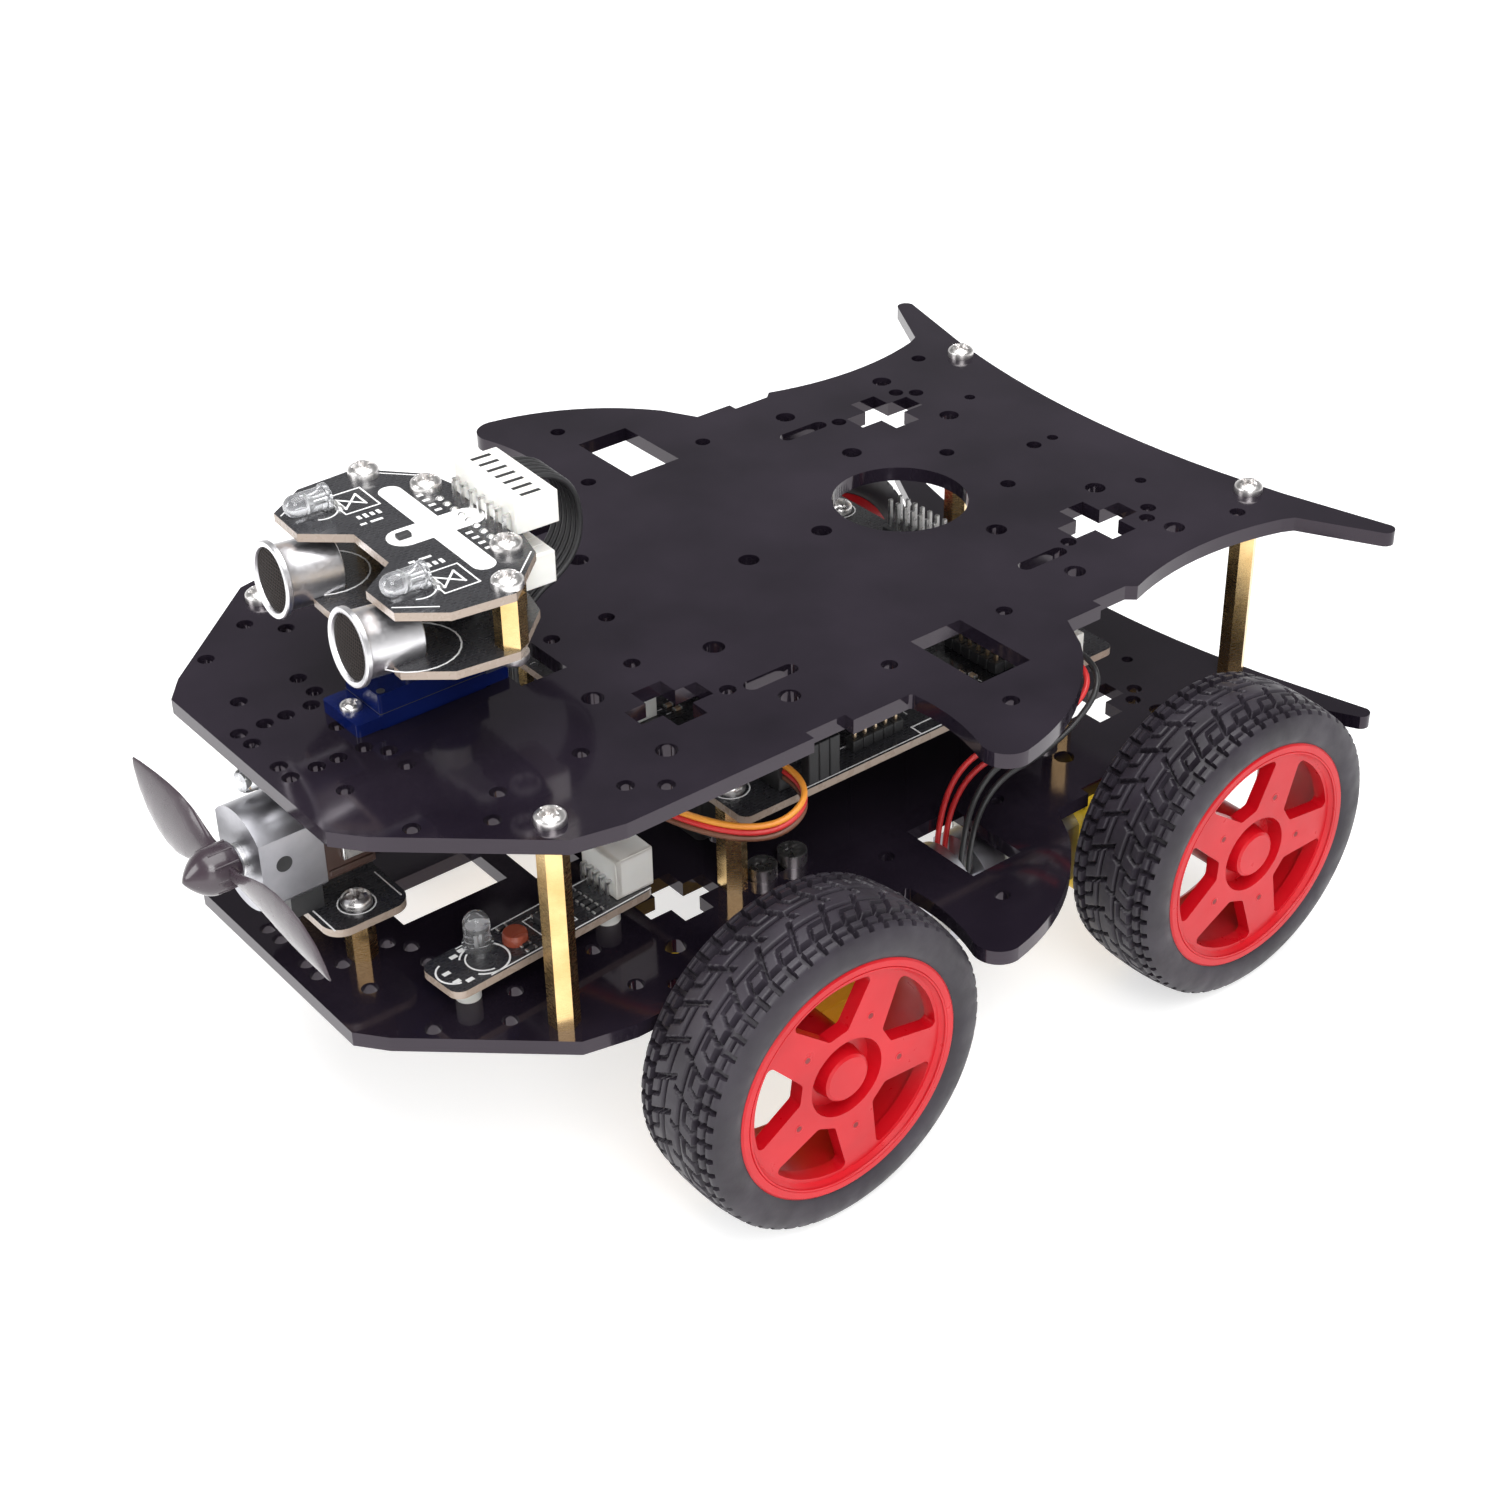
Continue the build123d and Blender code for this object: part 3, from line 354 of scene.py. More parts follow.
class Build:
    """Gathers solids, in millimetres, into one bevelled mesh."""

    def __init__(self, place=None):
        self.bm = bmesh.new()
        self.place = place or Matrix()
        self.prints = 0

    def box(self, centre, size, turn=0.0):
        spot = Matrix.Translation(centre) @ Matrix.Rotation(turn, 4, "Z") @ Matrix.Diagonal((*size, 1))
        bmesh.ops.create_cube(self.bm, size=1, matrix=spot)
        return self

    def rod(self, a, b, r, r2=None, sides=20):
        """Round bar or cone from a to b."""
        a = Vector(a)
        run = Vector(b) - a
        spot = Matrix.Translation(a + run / 2) @ run.to_track_quat("Z", "Y").to_matrix().to_4x4()
        r2 = r if r2 is None else r2
        bmesh.ops.create_cone(
            self.bm, cap_ends=True, segments=sides, radius1=r, radius2=r2, depth=run.length, matrix=spot
        )
        return self

    def lathe(self, profile, origin, axis, steps=40):
        """Turned shape: profile holds (radius, distance along axis) pairs."""
        turn = Vector(axis).normalized().to_track_quat("Z", "Y").to_matrix().to_4x4()
        spot = Matrix.Translation(origin) @ turn
        rings = []
        for r, h in profile:
            if r < 1e-6:
                rings.append([self.bm.verts.new(spot @ Vector((0, 0, h)))])
                continue
            circle = [Vector((r * math.cos(t), r * math.sin(t), h)) for t in around(steps)]
            rings.append([self.bm.verts.new(spot @ point) for point in circle])
        return self.skin(rings, steps)

    def skin(self, rows, steps, flip=False):
        """Faces between neighbouring rows of points; a row may be a single point."""
        for one, two in zip(rows, rows[1:]):
            for k in range(steps):
                n = k + 1
                quad = [one[k % len(one)], one[n % len(one)], two[n % len(two)], two[k % len(two)]]
                corners = list(dict.fromkeys(quad))
                if len(corners) > 2:
                    self.bm.faces.new(corners[::-1] if flip else corners)
        return self

    def strip(self, points, width, z, thick=0.05, close=False):
        """Flat printed line through plan points at height z."""
        pts = [Vector((*p, 0)) for p in points]
        pairs = list(zip(pts, pts[1:] + pts[:1])) if close else list(zip(pts, pts[1:]))
        for a, b in pairs:
            run = b - a
            mid = (a + b) / 2
            turn = math.atan2(run.y, run.x)
            self.patch((mid.x, mid.y), (run.length + width, width), z, turn, thick)
        return self

    def patch(self, centre, size, z, turn=0.0, thick=0.05):
        """Printed rectangle; thicknesses differ a hair, so that crossing ones don't share a face."""
        self.prints += 1
        deep = thick + 0.002 * (self.prints % 9)
        return self.box((*centre, z + deep / 2), (*size, deep), turn)

    def plate(self, outline, z0, z1):
        """Upright slab with the given plan outline."""
        low_ring = [self.bm.verts.new((x, y, z0)) for x, y in outline]
        top_ring = [self.bm.verts.new((x, y, z1)) for x, y in outline]
        self.bm.faces.new(low_ring[::-1])
        self.bm.faces.new(top_ring)
        count = len(outline)
        for k in range(count):
            n = (k + 1) % count
            self.bm.faces.new((low_ring[k], low_ring[n], top_ring[n], top_ring[k]))
        return self

    def ring(self, centre, r, width, z, start=0.0, end=360.0, sides=28):
        """Printed arc of radius r."""
        angles = [math.radians(start + (end - start) * k / sides) for k in range(sides + 1)]
        points = [(centre[0] + r * math.cos(t), centre[1] + r * math.sin(t)) for t in angles]
        return self.strip(points, width, z)

    def done(self, name, body, look, bevel=0.0, stands_for=(), sharp=38.0):
        """Writes the mesh as a piece of a body."""
        bmesh.ops.recalc_face_normals(self.bm, faces=self.bm.faces)
        self.bm.transform(Matrix.Scale(MM, 4) @ self.place)
        if self.place.determinant() < 0:
            bmesh.ops.reverse_faces(self.bm, faces=self.bm.faces)
        mesh = bpy.data.meshes.new(name)
        self.bm.to_mesh(mesh)
        self.bm.free()
        mesh.materials.append(LOOKS[look])
        mesh.shade_smooth()
        mesh.set_sharp_from_angle(angle=math.radians(sharp))
        piece = new_object(name, mesh)
        if bevel:
            edge = piece.modifiers.new("edge", "BEVEL")
            edge.width = bevel * MM
            edge.segments = 2
            edge.limit_method = "ANGLE"
        return claim(piece, body, stands_for)


def cross_screw(build, centre, up=1, r=2.9, h=2.4):
    """Pan head with a cross recess, seated on centre."""
    steps, rings = 48, 16
    arm, reach, dome = r * 0.17, r * 0.60, r * 0.96
    centre = Vector(centre)
    rows = []
    for i in range(rings + 1):
        f = i / rings
        row = []
        for t in around(steps if i else 1):
            x, y = dome * f * math.cos(t), dome * f * math.sin(t)
            top = h * (1 - 0.42 * f ** 3)
            near = min(max(abs(x) - arm, abs(y) - reach), max(abs(y) - arm, abs(x) - reach))
            cut = min(max(-near / (0.12 * r) + 0.5, 0), 1) * h * 0.55
            row.append(build.bm.verts.new(centre + Vector((x, y, up * (top - cut)))))
        rows.append(row)
    for drop in (h * 0.45, 0.0):
        rim = [Vector((r * math.cos(t), r * math.sin(t), up * drop)) for t in around(steps)]
        rows.append([build.bm.verts.new(centre + point) for point in rim])
    build.skin(rows, steps, flip=up < 0)
    build.bm.faces.new(rows[-1])


# ---- Wheels

def groove(value, half, edge=0.22):
    """1 inside a groove of the given half width, falling to 0 over edge."""
    return min(max((half + edge - abs(value)) / edge, 0.0), 1.0)


def tread_depth(s, w, pitch, half_width):
    """Depth of the tread, 0 to 1, at run s round the tyre and offset w from its middle."""
    shift = 0.25 * pitch if w > 0 else 0.0
    a = abs(w)
    cut = 0.0
    if a < half_width:
        cut = max(cut, groove(a - 6.4, 0.40))
        cut = max(cut, groove(a - 2.1, 0.22) * 0.8)
        slant = (s + 0.55 * a + shift) % pitch
        if a < 6.4:
            cut = max(cut, groove(slant - pitch / 2, 0.36))
        hook = (s + 0.5 * pitch + 0.55 * a + shift) % pitch
        if 3.4 < a < 6.4:
            cut = max(cut, groove(hook - pitch / 2, 0.26) * 0.8)
        if 3.0 < a < 4.1 and hook > pitch * 0.5:
            cut = max(cut, groove(a - 3.6, 0.22) * 0.8)
    if 6.4 < a < half_width + 0.6:
        rib = s % (pitch / 2)
        cut = max(cut, groove(rib - pitch / 4, 0.42))
    if a < half_width + 0.4:
        cut = max(cut, groove(a - 8.5, 0.16) * 0.6)
    return cut


def tyre(end, side, s):
    node = f"{end}_{side}_tyre"
    lo, hi = low(node), high(node)
    centre = (lo + hi) / 2
    radius = (hi.z - lo.z) / 2
    width = hi.y - lo.y
    bead = 24.9
    tread_height = 1.5
    mid = width / 2
    shoulder = 9.3
    teeth = 28
    pitch = 2 * math.pi * radius / teeth
    turns = teeth * 26
    # Section from the inner bead over the crown to the outer bead: radius, offset, tread depth
    section = [(bead, -mid + 0.7, 0), (25.6, -mid + 0.25, 0), (27.0, -mid + 0.02, 0), (28.6, -mid + 0.15, 0)]
    section += [(30.0, -mid + 0.45, 0), (31.0, -mid + 0.95, 0)]
    count = 92
    for k in range(count + 1):
        w = -shoulder - 0.35 + (2 * shoulder + 0.7) * k / count
        crown = radius - 0.9 * (abs(w) / 9.6) ** 2.4
        section.append((crown, w, 1))
    tail = [(r, -w, d) for r, w, d in section[:6]]
    section += tail[::-1]
    build = Build()
    grid = []
    for j, t in enumerate(around(turns)):
        run = pitch * teeth * j / turns
        row = []
        for r, w, tread in section:
            deep = tread_height * tread_depth(run, w, pitch, shoulder) if tread else 0.0
            x, z = (r - deep) * math.cos(t), (r - deep) * math.sin(t)
            row.append(build.bm.verts.new((centre.x + x, centre.y + s * w, centre.z + z)))
        grid.append(row)
    build.skin(grid + grid[:1], len(section) - 1)
    return build.done(f"{node}_tread", f"{end}_{side}_wheel", "rubber", stands_for=[node], sharp=60)


def rim_details(end, side, s):
    """Dimple on each spoke, with a dark red disc in it as painted shade of the hollow, and two moulded rings
    inside the lip.
    """
    node = f"{end}_{side}_rim"
    lo, hi = low(node), high(node)
    centre = (lo + hi) / 2
    lip = hi.y if s > 0 else lo.y
    face = lip - s * 1.2
    build, dimple_shade = Build(), Build()
    phase = {"front": 116.0, "rear": 111.5}[end]
    for k in range(5):
        t = math.radians(phase + 72 * k)
        spot = Vector((centre.x + 12.6 * math.cos(t), face - s * 0.35, centre.z + 12.6 * math.sin(t)))
        build.lathe([(0.95, 0.34), (0.8, 0.42), (0.55, 0.36), (0.4, 0.3), (0, 0.28)], spot, (0, s, 0), 20)
        # Dark red disc inside each dimple: painted shade of its hollow
        dimple_shade.lathe([(0.58, 0.37), (0.3, 0.40), (0, 0.41)], spot, (0, s, 0), 16)
    for r, w in ((22.9, 0.25), (24.2, 0.1)):
        ridge = [(r - 0.25, 0), (r - 0.15, w), (r + 0.15, w), (r + 0.25, 0)]
        build.lathe(ridge, (centre.x, lip - s * 0.26, centre.z), (0, s, 0), 96)
    build.done(f"{node}_moulding", f"{end}_{side}_wheel", "red")
    dimple_shade.done(f"{node}_painted_dimple_shade", f"{end}_{side}_wheel", "dimple_shade_red")


for end, side, s in WHEELS:
    tyre(end, side, s)
    rim_details(end, side, s)


# ---- Gear motors

def motor_details(end, side, s):
    gear = f"{end}_{side}_gearbox"
    lo, hi = low(gear), high(gear)
    mlo, mhi = low(f"{end}_{side}_motor"), high(f"{end}_{side}_motor")
    back = -1 if end == "front" else 1
    y_out = hi.y if s > 0 else lo.y
    y_in = lo.y if s > 0 else hi.y
    outer = y_out - s * 0.8
    x_axle = joints[f"{end}_{side}_spin"]["pos_m"][0] / MM
    gear_tail = x_axle + back * 26.2
    seam = Build()
    seam_y = (y_in + outer) / 2 - s * 1.0
    long_mid = (x_axle - back * 11.2 + gear_tail) / 2
    seam.box((long_mid, seam_y, lo.z + 0.1), (36.0, 0.5, 0.5))
    seam.box((x_axle - back * 11.1, seam_y, (lo.z + hi.z) / 2), (0.5, 0.5, 17.0))
    for z in (lo.z + 6.0, lo.z + 16.5):
        seam.box((long_mid + back * 4, outer - s * 0.1, z), (22.0, 0.5, 0.8))
    seam.done(f"{gear}_ribs", BODY, "yellow", 0.12)
    pins = Build()
    for x, z in ((x_axle - back * 8.2, lo.z + 3.4), (x_axle - back * 8.2, hi.z - 3.4)):
        pins.lathe([(0, 0.5), (0.9, 0.5), (1.5, 0.3), (1.6, 0)], (x, outer, z), (0, s, 0), 20)
    for z in (AXLE_Z - 8.75, AXLE_Z + 8.75):
        x = x_axle + back * 19.0
        pins.lathe([(0, 0.35), (1.2, 0.35), (1.4, 0.2), (1.4, 0)], (x, outer - s * 0.1, z), (0, s, 0), 20)
    pins.done(f"{gear}_pins", BODY, "steel")
    cap = Build()
    x_end = mlo.x if back < 0 else mhi.x
    face = x_end - back * 1.6
    yc = (mlo.y + mhi.y) / 2
    cap.lathe([(0, 0.2), (4.2, 0.2), (4.6, 0.1), (4.6, 0)], (face, yc, AXLE_Z), (back, 0, 0), 28)
    cap.done(f"{gear}_motor_boss", BODY, "nylon")
    strap = Build()
    x_mid = (face + gear_tail) / 2 + back * 5.0
    strap.box((x_mid, mhi.y - 0.02, AXLE_Z), (5.0, 0.25, 17.5))
    strap.box((x_mid, mlo.y + 0.02, AXLE_Z), (5.0, 0.25, 17.5))
    strap.done(f"{gear}_motor_band", BODY, "strap", 0.05)


for end, side, s in WHEELS:
    motor_details(end, side, s)


# ---- Screws

def bolt_heads(build, places, top, under, spot=at):
    """A head above and one below at each place and at its mirror image."""
    for d, y in places:
        for s in BOTH:
            cross_screw(build, spot(d, s * y, top))
            cross_screw(build, spot(d, s * y, under), -1)


def screw_set():
    lower_under = low("lower_deck").z
    deck = Build()
    bolt_heads(deck, DECK_BOLTS, deck_up_top, lower_under)
    deck.done("deck_screw_heads", BODY, "steel", stands_for=["deck_screws"])
    board = Build()
    bolt_heads(board, BOARD_BOLTS, board_top, lower_under)
    bolt_heads(board, FAN_BOARD_BOLTS, fan_board_top, lower_under)
    board.done("board_screw_heads", BODY, "steel", stands_for=["board_screws"])
    slot_shade = Build()
    for d, y in BRACKET_BOLTS:
        for s in BOTH:
            cross_screw(slot_shade, at(d, s * y, deck_low_top + 2.35), h=0.5)
    slot_shade.done("bracket_screw_faces", BODY, "steel")
    head = Build(head_frame)
    bolt_heads(head, HEAD_BOLTS, head_top, low("head_lower_board").z, lambda *spot: Vector(spot))
    head.done("head_screw_heads", HEAD, "steel", stands_for=["head_screws"])
    small = Build()
    for d in (21.6, 48.9):
        cross_screw(small, at(d, 0, deck_up_top + 2.5), r=2.0, h=1.4)
    small.done("servo_screw_heads", BODY, "steel", stands_for=["servo_screws"])


screw_set()


# ---- Fan

# Blade sections: radius, chord, thickness, pitch in degrees, sweep towards the leading edge
BLADE = [
    (3.0, 4.4, 2.2, 28, 0.0), (6.0, 5.0, 1.9, 24, 0.0), (9.0, 7.0, 1.7, 19, 0.0),
    (13.0, 10.2, 1.5, 15, 0.1), (17.0, 12.2, 1.3, 11.5, 0.2), (21.0, 12.6, 1.2, 9.5, 0.1),
    (25.0, 11.8, 1.1, 8, -0.3), (28.5, 9.8, 1.0, 7, -1.1), (31.5, 6.8, 0.8, 6, -2.4),
    (33.4, 3.0, 0.6, 5, -4.1), (34.0, 0.7, 0.4, 5, -5.1),
]


def blade_section(r):
    """Section of the blade at radius r, eased between the listed ones."""
    for one, two in zip(BLADE, BLADE[1:]):
        if r <= two[0] + 1e-6:
            f = (r - one[0]) / (two[0] - one[0])
            return [a + (b - a) * f for a, b in zip(one[1:], two[1:])]
    return list(BLADE[-1][1:])


def propeller():
    build = Build()
    x0 = nose + 6.6
    root, length, rows_along, points = 3.0, 31.0, 48, 24
    for s in BOTH:
        rows = []
        for i in range(rows_along + 1):
            r = root + length * i / rows_along
            chord, thick, pitch, sweep = blade_section(r)
            b = math.radians(pitch)
            row = []
            for t in around(points):
                c = chord / 2 * math.cos(t) + sweep
                h = thick / 2 * math.sin(t) + 0.05 * chord * math.sin(t) ** 2
                x = x0 + c * math.sin(b) + h * math.cos(b)
                z = fan_z + s * (c * math.cos(b) - h * math.sin(b))
                row.append(build.bm.verts.new((x, s * r, z)))
            rows.append(row)
        build.skin(rows, points)
        build.bm.faces.new(rows[-1])
        build.bm.faces.new(rows[0][::-1])
    hub = [(1.0, -1.7), (3.7, -1.7), (4.1, -1.4), (4.35, -0.6), (4.45, 1.2), (4.4, 2.9), (1.0, 2.9)]
    build.lathe(hub, (x0, 0, fan_z), (1, 0, 0), 48)
    return build.done("propeller_blades", "fan", "prop", stands_for=["propeller"], sharp=55)


def spinner():
    build = Build()
    reach = high("spinner").x - nose
    base = 9.5
    steps = 14
    cone = [(0.0, base)]
    for k in range(steps + 1):
        cone.append((4.4 * math.cos(k / steps * math.pi / 2) ** 0.8, base + (reach - base) * k / steps))
    build.lathe(cone, (nose, 0, fan_z), (1, 0, 0), 48)
    build.lathe([(1.0, -5.0), (1.0, 9.4)], (nose, 0, fan_z), (1, 0, 0), 24)
    for t in around(10):
        a = Vector((nose + 5.6, 4.32 * math.cos(t), fan_z + 4.32 * math.sin(t)))
        build.rod(a, a + Vector((4.6, 0, 0)), 0.28, 0.2, 8)
    return build.done("spinner_cone", "fan", "prop", stands_for=["spinner"], sharp=50)


def fan_details():
    dark = Build()
    flat = high("fan_motor").y
    # Dark discs on the can's flats stand for its vent holes: painted shade of the openings
    vent_shade_disc = [(0, 0.03), (1.3, 0.03), (1.5, 0.06), (1.6, 0.0)]
    for s in BOTH:
        dark.lathe(vent_shade_disc, (nose - 1.0, s * flat, fan_z + 1.0), (0, s, 0), 24)
    dark.done("fan_motor_vent_shade_discs", BODY, "chip")
    can = Build()
    for s in BOTH:
        can.box((nose - 14.5, s * 8.0, fan_z - 1.5), (4.5, 0.9, 3.2))
        can.box((nose - 19.3, s * 5.6, fan_z - 0.5), (1.4, 2.2, 0.6))
    can.lathe([(3.1, 0), (3.1, 0.9), (2.7, 1.15), (1.3, 1.15)], (nose + 3.45, 0, fan_z), (1, 0, 0), 36)
    can.done("fan_motor_fittings", BODY, "solder", 0.15)
    bell = Build()
    for s in BOTH:
        bell.box((nose - 14.0, s * 7.5, fan_z + 4.6), (9.0, 0.8, 1.2))
        bell.box((nose - 14.0, s * 7.5, fan_z - 5.2), (9.0, 0.8, 1.2))
    bell.done("fan_end_bell_ribs", BODY, "bell", 0.2)
    cap = Build()
    cap.box((nose - 12.0, 4.2, fan_z + 10.6), (4.2, 3.0, 2.4))
    cap.done("fan_capacitor", BODY, "cap_orange", 0.7)
    legs = Build()
    legs.rod((nose - 12.6, 5.6, fan_z + 10.2), (nose - 14.0, 7.8, fan_z + 1.0), 0.25, sides=8)
    legs.rod((nose - 11.4, 3.0, fan_z + 10.4), (nose - 13.0, -7.8, fan_z + 1.0), 0.25, sides=8)
    legs.done("fan_capacitor_legs", BODY, "solder")


propeller()
spinner()
fan_details()


def lamp(lens_build, metal_build, base, axis, r=2.5, length=8.6):
    """5 mm lamp: lens in one mesh, lead frame and cup in another."""
    axis = Vector(axis).normalized()
    dome = length - r
    profile = [(0, 0), (r + 0.4, 0), (r + 0.4, 0.9), (r, 1.0), (r, dome)]
    profile += [(r * math.cos(a), dome + r * math.sin(a)) for a in (0.26, 0.52, 0.79, 1.05, 1.31)]
    profile.append((0, length))
    lens_build.lathe(profile, base, axis, 32)
    side = axis.orthogonal().normalized()
    base = Vector(base)
    metal_build.rod(base + side * 0.9 + axis * 0.3, base + side * 0.9 + axis * 3.2, 0.3, sides=8)
    metal_build.rod(base - side * 0.9 + axis * 0.3, base - side * 0.9 + axis * 3.0, 0.3, sides=8)
    metal_build.rod(base - side * 0.5 + axis * 3.0, base - side * 0.5 + axis * 4.1, 0.6, 1.2, 16)


# ---- Lamp boards

def lamp_frames():
    centre = at(38.3, 30.2, 0)
    left = Matrix.Translation(centre) @ Matrix.Rotation(math.radians(4.3), 4, "Z")
    return [("left", left), ("right", Matrix.Diagonal((1, -1, 1, 1)) @ left)]


def lamp_board_parts(side, place):
    """Local x runs forward along the board, local y outward; heights are absolute."""
    z = lamp_top
    silk = Build(place)
    silk.ring((13.0, 0.6), 4.5, 0.35, z, 40, 320)
    silk.ring((13.0, 0.6), 3.5, 0.3, z, -60, 80)
    silk.ring((19.2, 0.0), 3.4, 0.35, z, -70, 70)
    silk.strip([(-22.0, -5.2), (15, -5.2)], 0.25, z)
    silk.strip([(-22.0, 5.2), (15, 5.2)], 0.25, z)
    silk.strip([(-6.2, -3.2), (1.4, -3.2), (1.4, 3.2), (-6.2, 3.2)], 0.22, z, close=True)
    for x, y in ((20.6, 2.4), (20.6, -0.6), (18.6, 3.6), (16.8, -3.6), (14.6, -4.2)):
        silk.patch((x, y), (1.5, 0.9), z)
    silk.done(f"{side}_lamp_legend", BODY, "silk")
    chip = Build(place)
    chip.box((-2.4, 0.0, z + 0.85), (5.0, 3.9, 1.5))
    chip.done(f"{side}_lamp_chip", BODY, "chip", 0.2)
    pads = Build(place)
    for k in range(4):
        for s in BOTH:
            pads.box((-4.3 + CHIP_PITCH * k, s * 2.5, z + 0.35), (0.5, 1.3, 0.5))
    for k in range(6):
        pads.box((-9.4, -4.0 + 1.6 * k, z + 0.25), (0.4, 0.9, 0.45))
        pads.box((-11.4, -4.0 + 1.6 * k, z + 0.25), (0.4, 0.9, 0.45))
        pads.box((4.5, -4.2 + 1.7 * k, z + 0.22), (0.5, 0.9, 0.4))
        pads.box((6.3, -4.2 + 1.7 * k, z + 0.22), (0.5, 0.9, 0.4))
    pads.done(f"{side}_lamp_solder", BODY, "solder", 0.1)
    parts = Build(place)
    for k in range(6):
        parts.box((-10.4, -4.0 + 1.6 * k, z + 0.3), (1.5, 0.85, 0.5))
        parts.box((5.4, -4.2 + 1.7 * k, z + 0.3), (1.3, 0.85, 0.5))
    parts.done(f"{side}_lamp_resistors", BODY, "chip", 0.1)


for side, place in lamp_frames():
    lamp_board_parts(side, place)

lamp_lens, lamp_metal = Build(), Build()
for s in BOTH:
    lamp(lamp_lens, lamp_metal, at(26.6, s * 27.8, lamp_top), (0, 0, 1), length=7.4)
lamp_lens.done("lamp_lenses", BODY, "clear", stands_for=["lamp_leds"])
lamp_metal.done("lamp_frames", BODY, "solder")
eyes = Build()
for s in BOTH:
    eyes.lathe([(2.4, 0), (2.4, 1.6), (2.1, 2.0), (0, 2.0)], at(32.6, s * 30.8, lamp_top), (0, 0, 1), 32)
eyes.done("light_sensor_caps", BODY, "sensor", stands_for=["light_sensors"])


# ---- Plugs and headers

def socket(build, pins, lo, hi, open_face, count):
    """Open-faced wire socket between corners lo and hi, its mouth on open_face (axis, sign)."""
    axis, sign = open_face
    lo, hi = Vector(lo), Vector(hi)
    mid, size = (lo + hi) / 2, hi - lo
    wall = 0.7
    for k in range(3):
        if k == axis:
            continue
        for s in BOTH:
            centre, block = mid.copy(), size.copy()
            centre[k] += s * (size[k] - wall) / 2
            block[k] = wall
            build.box(centre, block)
    centre, block = mid.copy(), size.copy()
    centre[axis] -= sign * (size[axis] - 1.4) / 2
    block[axis] = 1.4
    build.box(centre, block)
    across = max((k for k in range(3) if k != axis), key=lambda k: size[k])
    for k in range(count):
        a = mid.copy()
        a[across] += (k - (count - 1) / 2) * (size[across] - 3.0) / max(count - 1, 1)
        b = a.copy()
        a[axis] -= sign * (size[axis] / 2 - 1.0)
        b[axis] += sign * (size[axis] / 2 - 1.0)
        pins.rod(a, b, 0.32, sides=6)


def plug_housing(build, lo, hi, axis, count, slot_shade=None):
    """Filled plug with a rib beside each wire, between corners lo and hi; dark patches on its top are
    painted shade of its wire openings.
    """
    lo, hi = Vector(lo), Vector(hi)
    mid, size = (lo + hi) / 2, hi - lo
    build.box(mid, size * 0.999)
    across = max((k for k in range(2) if k != axis), key=lambda k: size[k])
    for k in range(count + 1):
        spot = mid.copy()
        spot[across] += (k - count / 2) * (size[across] - 1.2) / count
        spot.z = hi.z - 0.15
        rib = Vector((0.5, 0.5, 0.5))
        rib[axis] = size[axis] * 0.9
        build.box(spot, rib)
        # Dark patch on the top beside each rib: painted shade of a wire opening
        if slot_shade and k < count:
            hole = spot.copy()
            hole[across] += (size[across] - 1.2) / count / 2
            hole.z = hi.z
            deep = Vector((0.9, 0.9, 0.08))
            deep[axis] = size[axis] * 0.45
            slot_shade.box(hole, deep)


def connectors():
    shell, slot_shade = Build(), Build()
    z0 = board_top
    # Plug of the head cable and the motor plugs on each side
    plug_housing(shell, at(83.4, -11.4, z0), at(76.6, 6.4, z0 + 6.8), 0, 6, slot_shade)
    for s in BOTH:
        y0, y1 = sorted((s * 38.7, s * 44.5))
        plug_housing(shell, at(160.2, y0, z0), at(148.3, y1, z0 + 6.4), 1, 4, slot_shade)
    shell.done("controller_sockets", BODY, "nylon", 0.18, stands_for=["controller_connectors"])
    slot_shade.done("controller_plug_slot_shade", BODY, "header")
    lamps, lamp_pins = Build(), Build()
    for s in BOTH:
        y0, y1 = sorted((s * 22.1, s * 33.0))
        socket(lamps, lamp_pins, at(62.0, y0, lamp_top), at(53.6, y1, lamp_top + 8.4), (0, -1), 5)
        for k in range(5):
            leg = at(52.6, s * (23.6 + 1.95 * k), lamp_top)
            lamp_pins.box(leg + Vector((-0.6, 0, 3.6)), (1.6, 0.6, 0.6))
            lamp_pins.box(leg + Vector((0, 0, 1.8)), (0.6, 0.6, 3.6))
    lamps.done("lamp_sockets", BODY, "nylon", 0.2, stands_for=["lamp_connectors"])
    lamp_pins.done("lamp_socket_pins", BODY, "solder")
    top, top_slot_shade, top_pins = Build(head_frame), Build(head_frame), Build(head_frame)
    plug_housing(top, (-19.4, -9.4, head_top), (-10.6, 11.4, head_top + 6.3), 0, 7, top_slot_shade)
    plug_housing(top, (-17.9, -0.7, head_low_top), (-10.1, 11.7, head_low_top + 6.3), 0, 4)
    for k in range(7):
        v = -7.9 + 2.9 * k
        top_pins.box((-10.0, v, head_top + 3.4), (1.6, 0.6, 0.6))
        top_pins.box((-9.4, v, head_top + 1.8), (0.6, 0.6, 3.6))
    top_slot_shade.done("head_plug_slot_shade", HEAD, "header")
    top_pins.done("head_plug_pins", HEAD, "solder")
    top.done("head_plugs", HEAD, "nylon", 0.2, stands_for=["head_connectors"])


def header(body_build, pin_build, d, y, count, rows, along, male=True):
    """Pin header, or a taller socket strip, on the controller board: along is 0 for X, 1 for Y."""
    tall = 2.5 if male else 8.5
    for i in range(count):
        for j in range(rows):
            step = Vector((0, 0, 0))
            step[along] = (i - (count - 1) / 2) * PIN_PITCH
            step[1 - along] = (j - (rows - 1) / 2) * PIN_PITCH
            spot = at(d, y, board_top) + step
            body_build.box(spot + Vector((0, 0, tall / 2)), (2.4, 2.4, tall))
            if male:
                pin_build.box(spot + Vector((0, 0, 4.2)), (0.62, 0.62, 8.3))


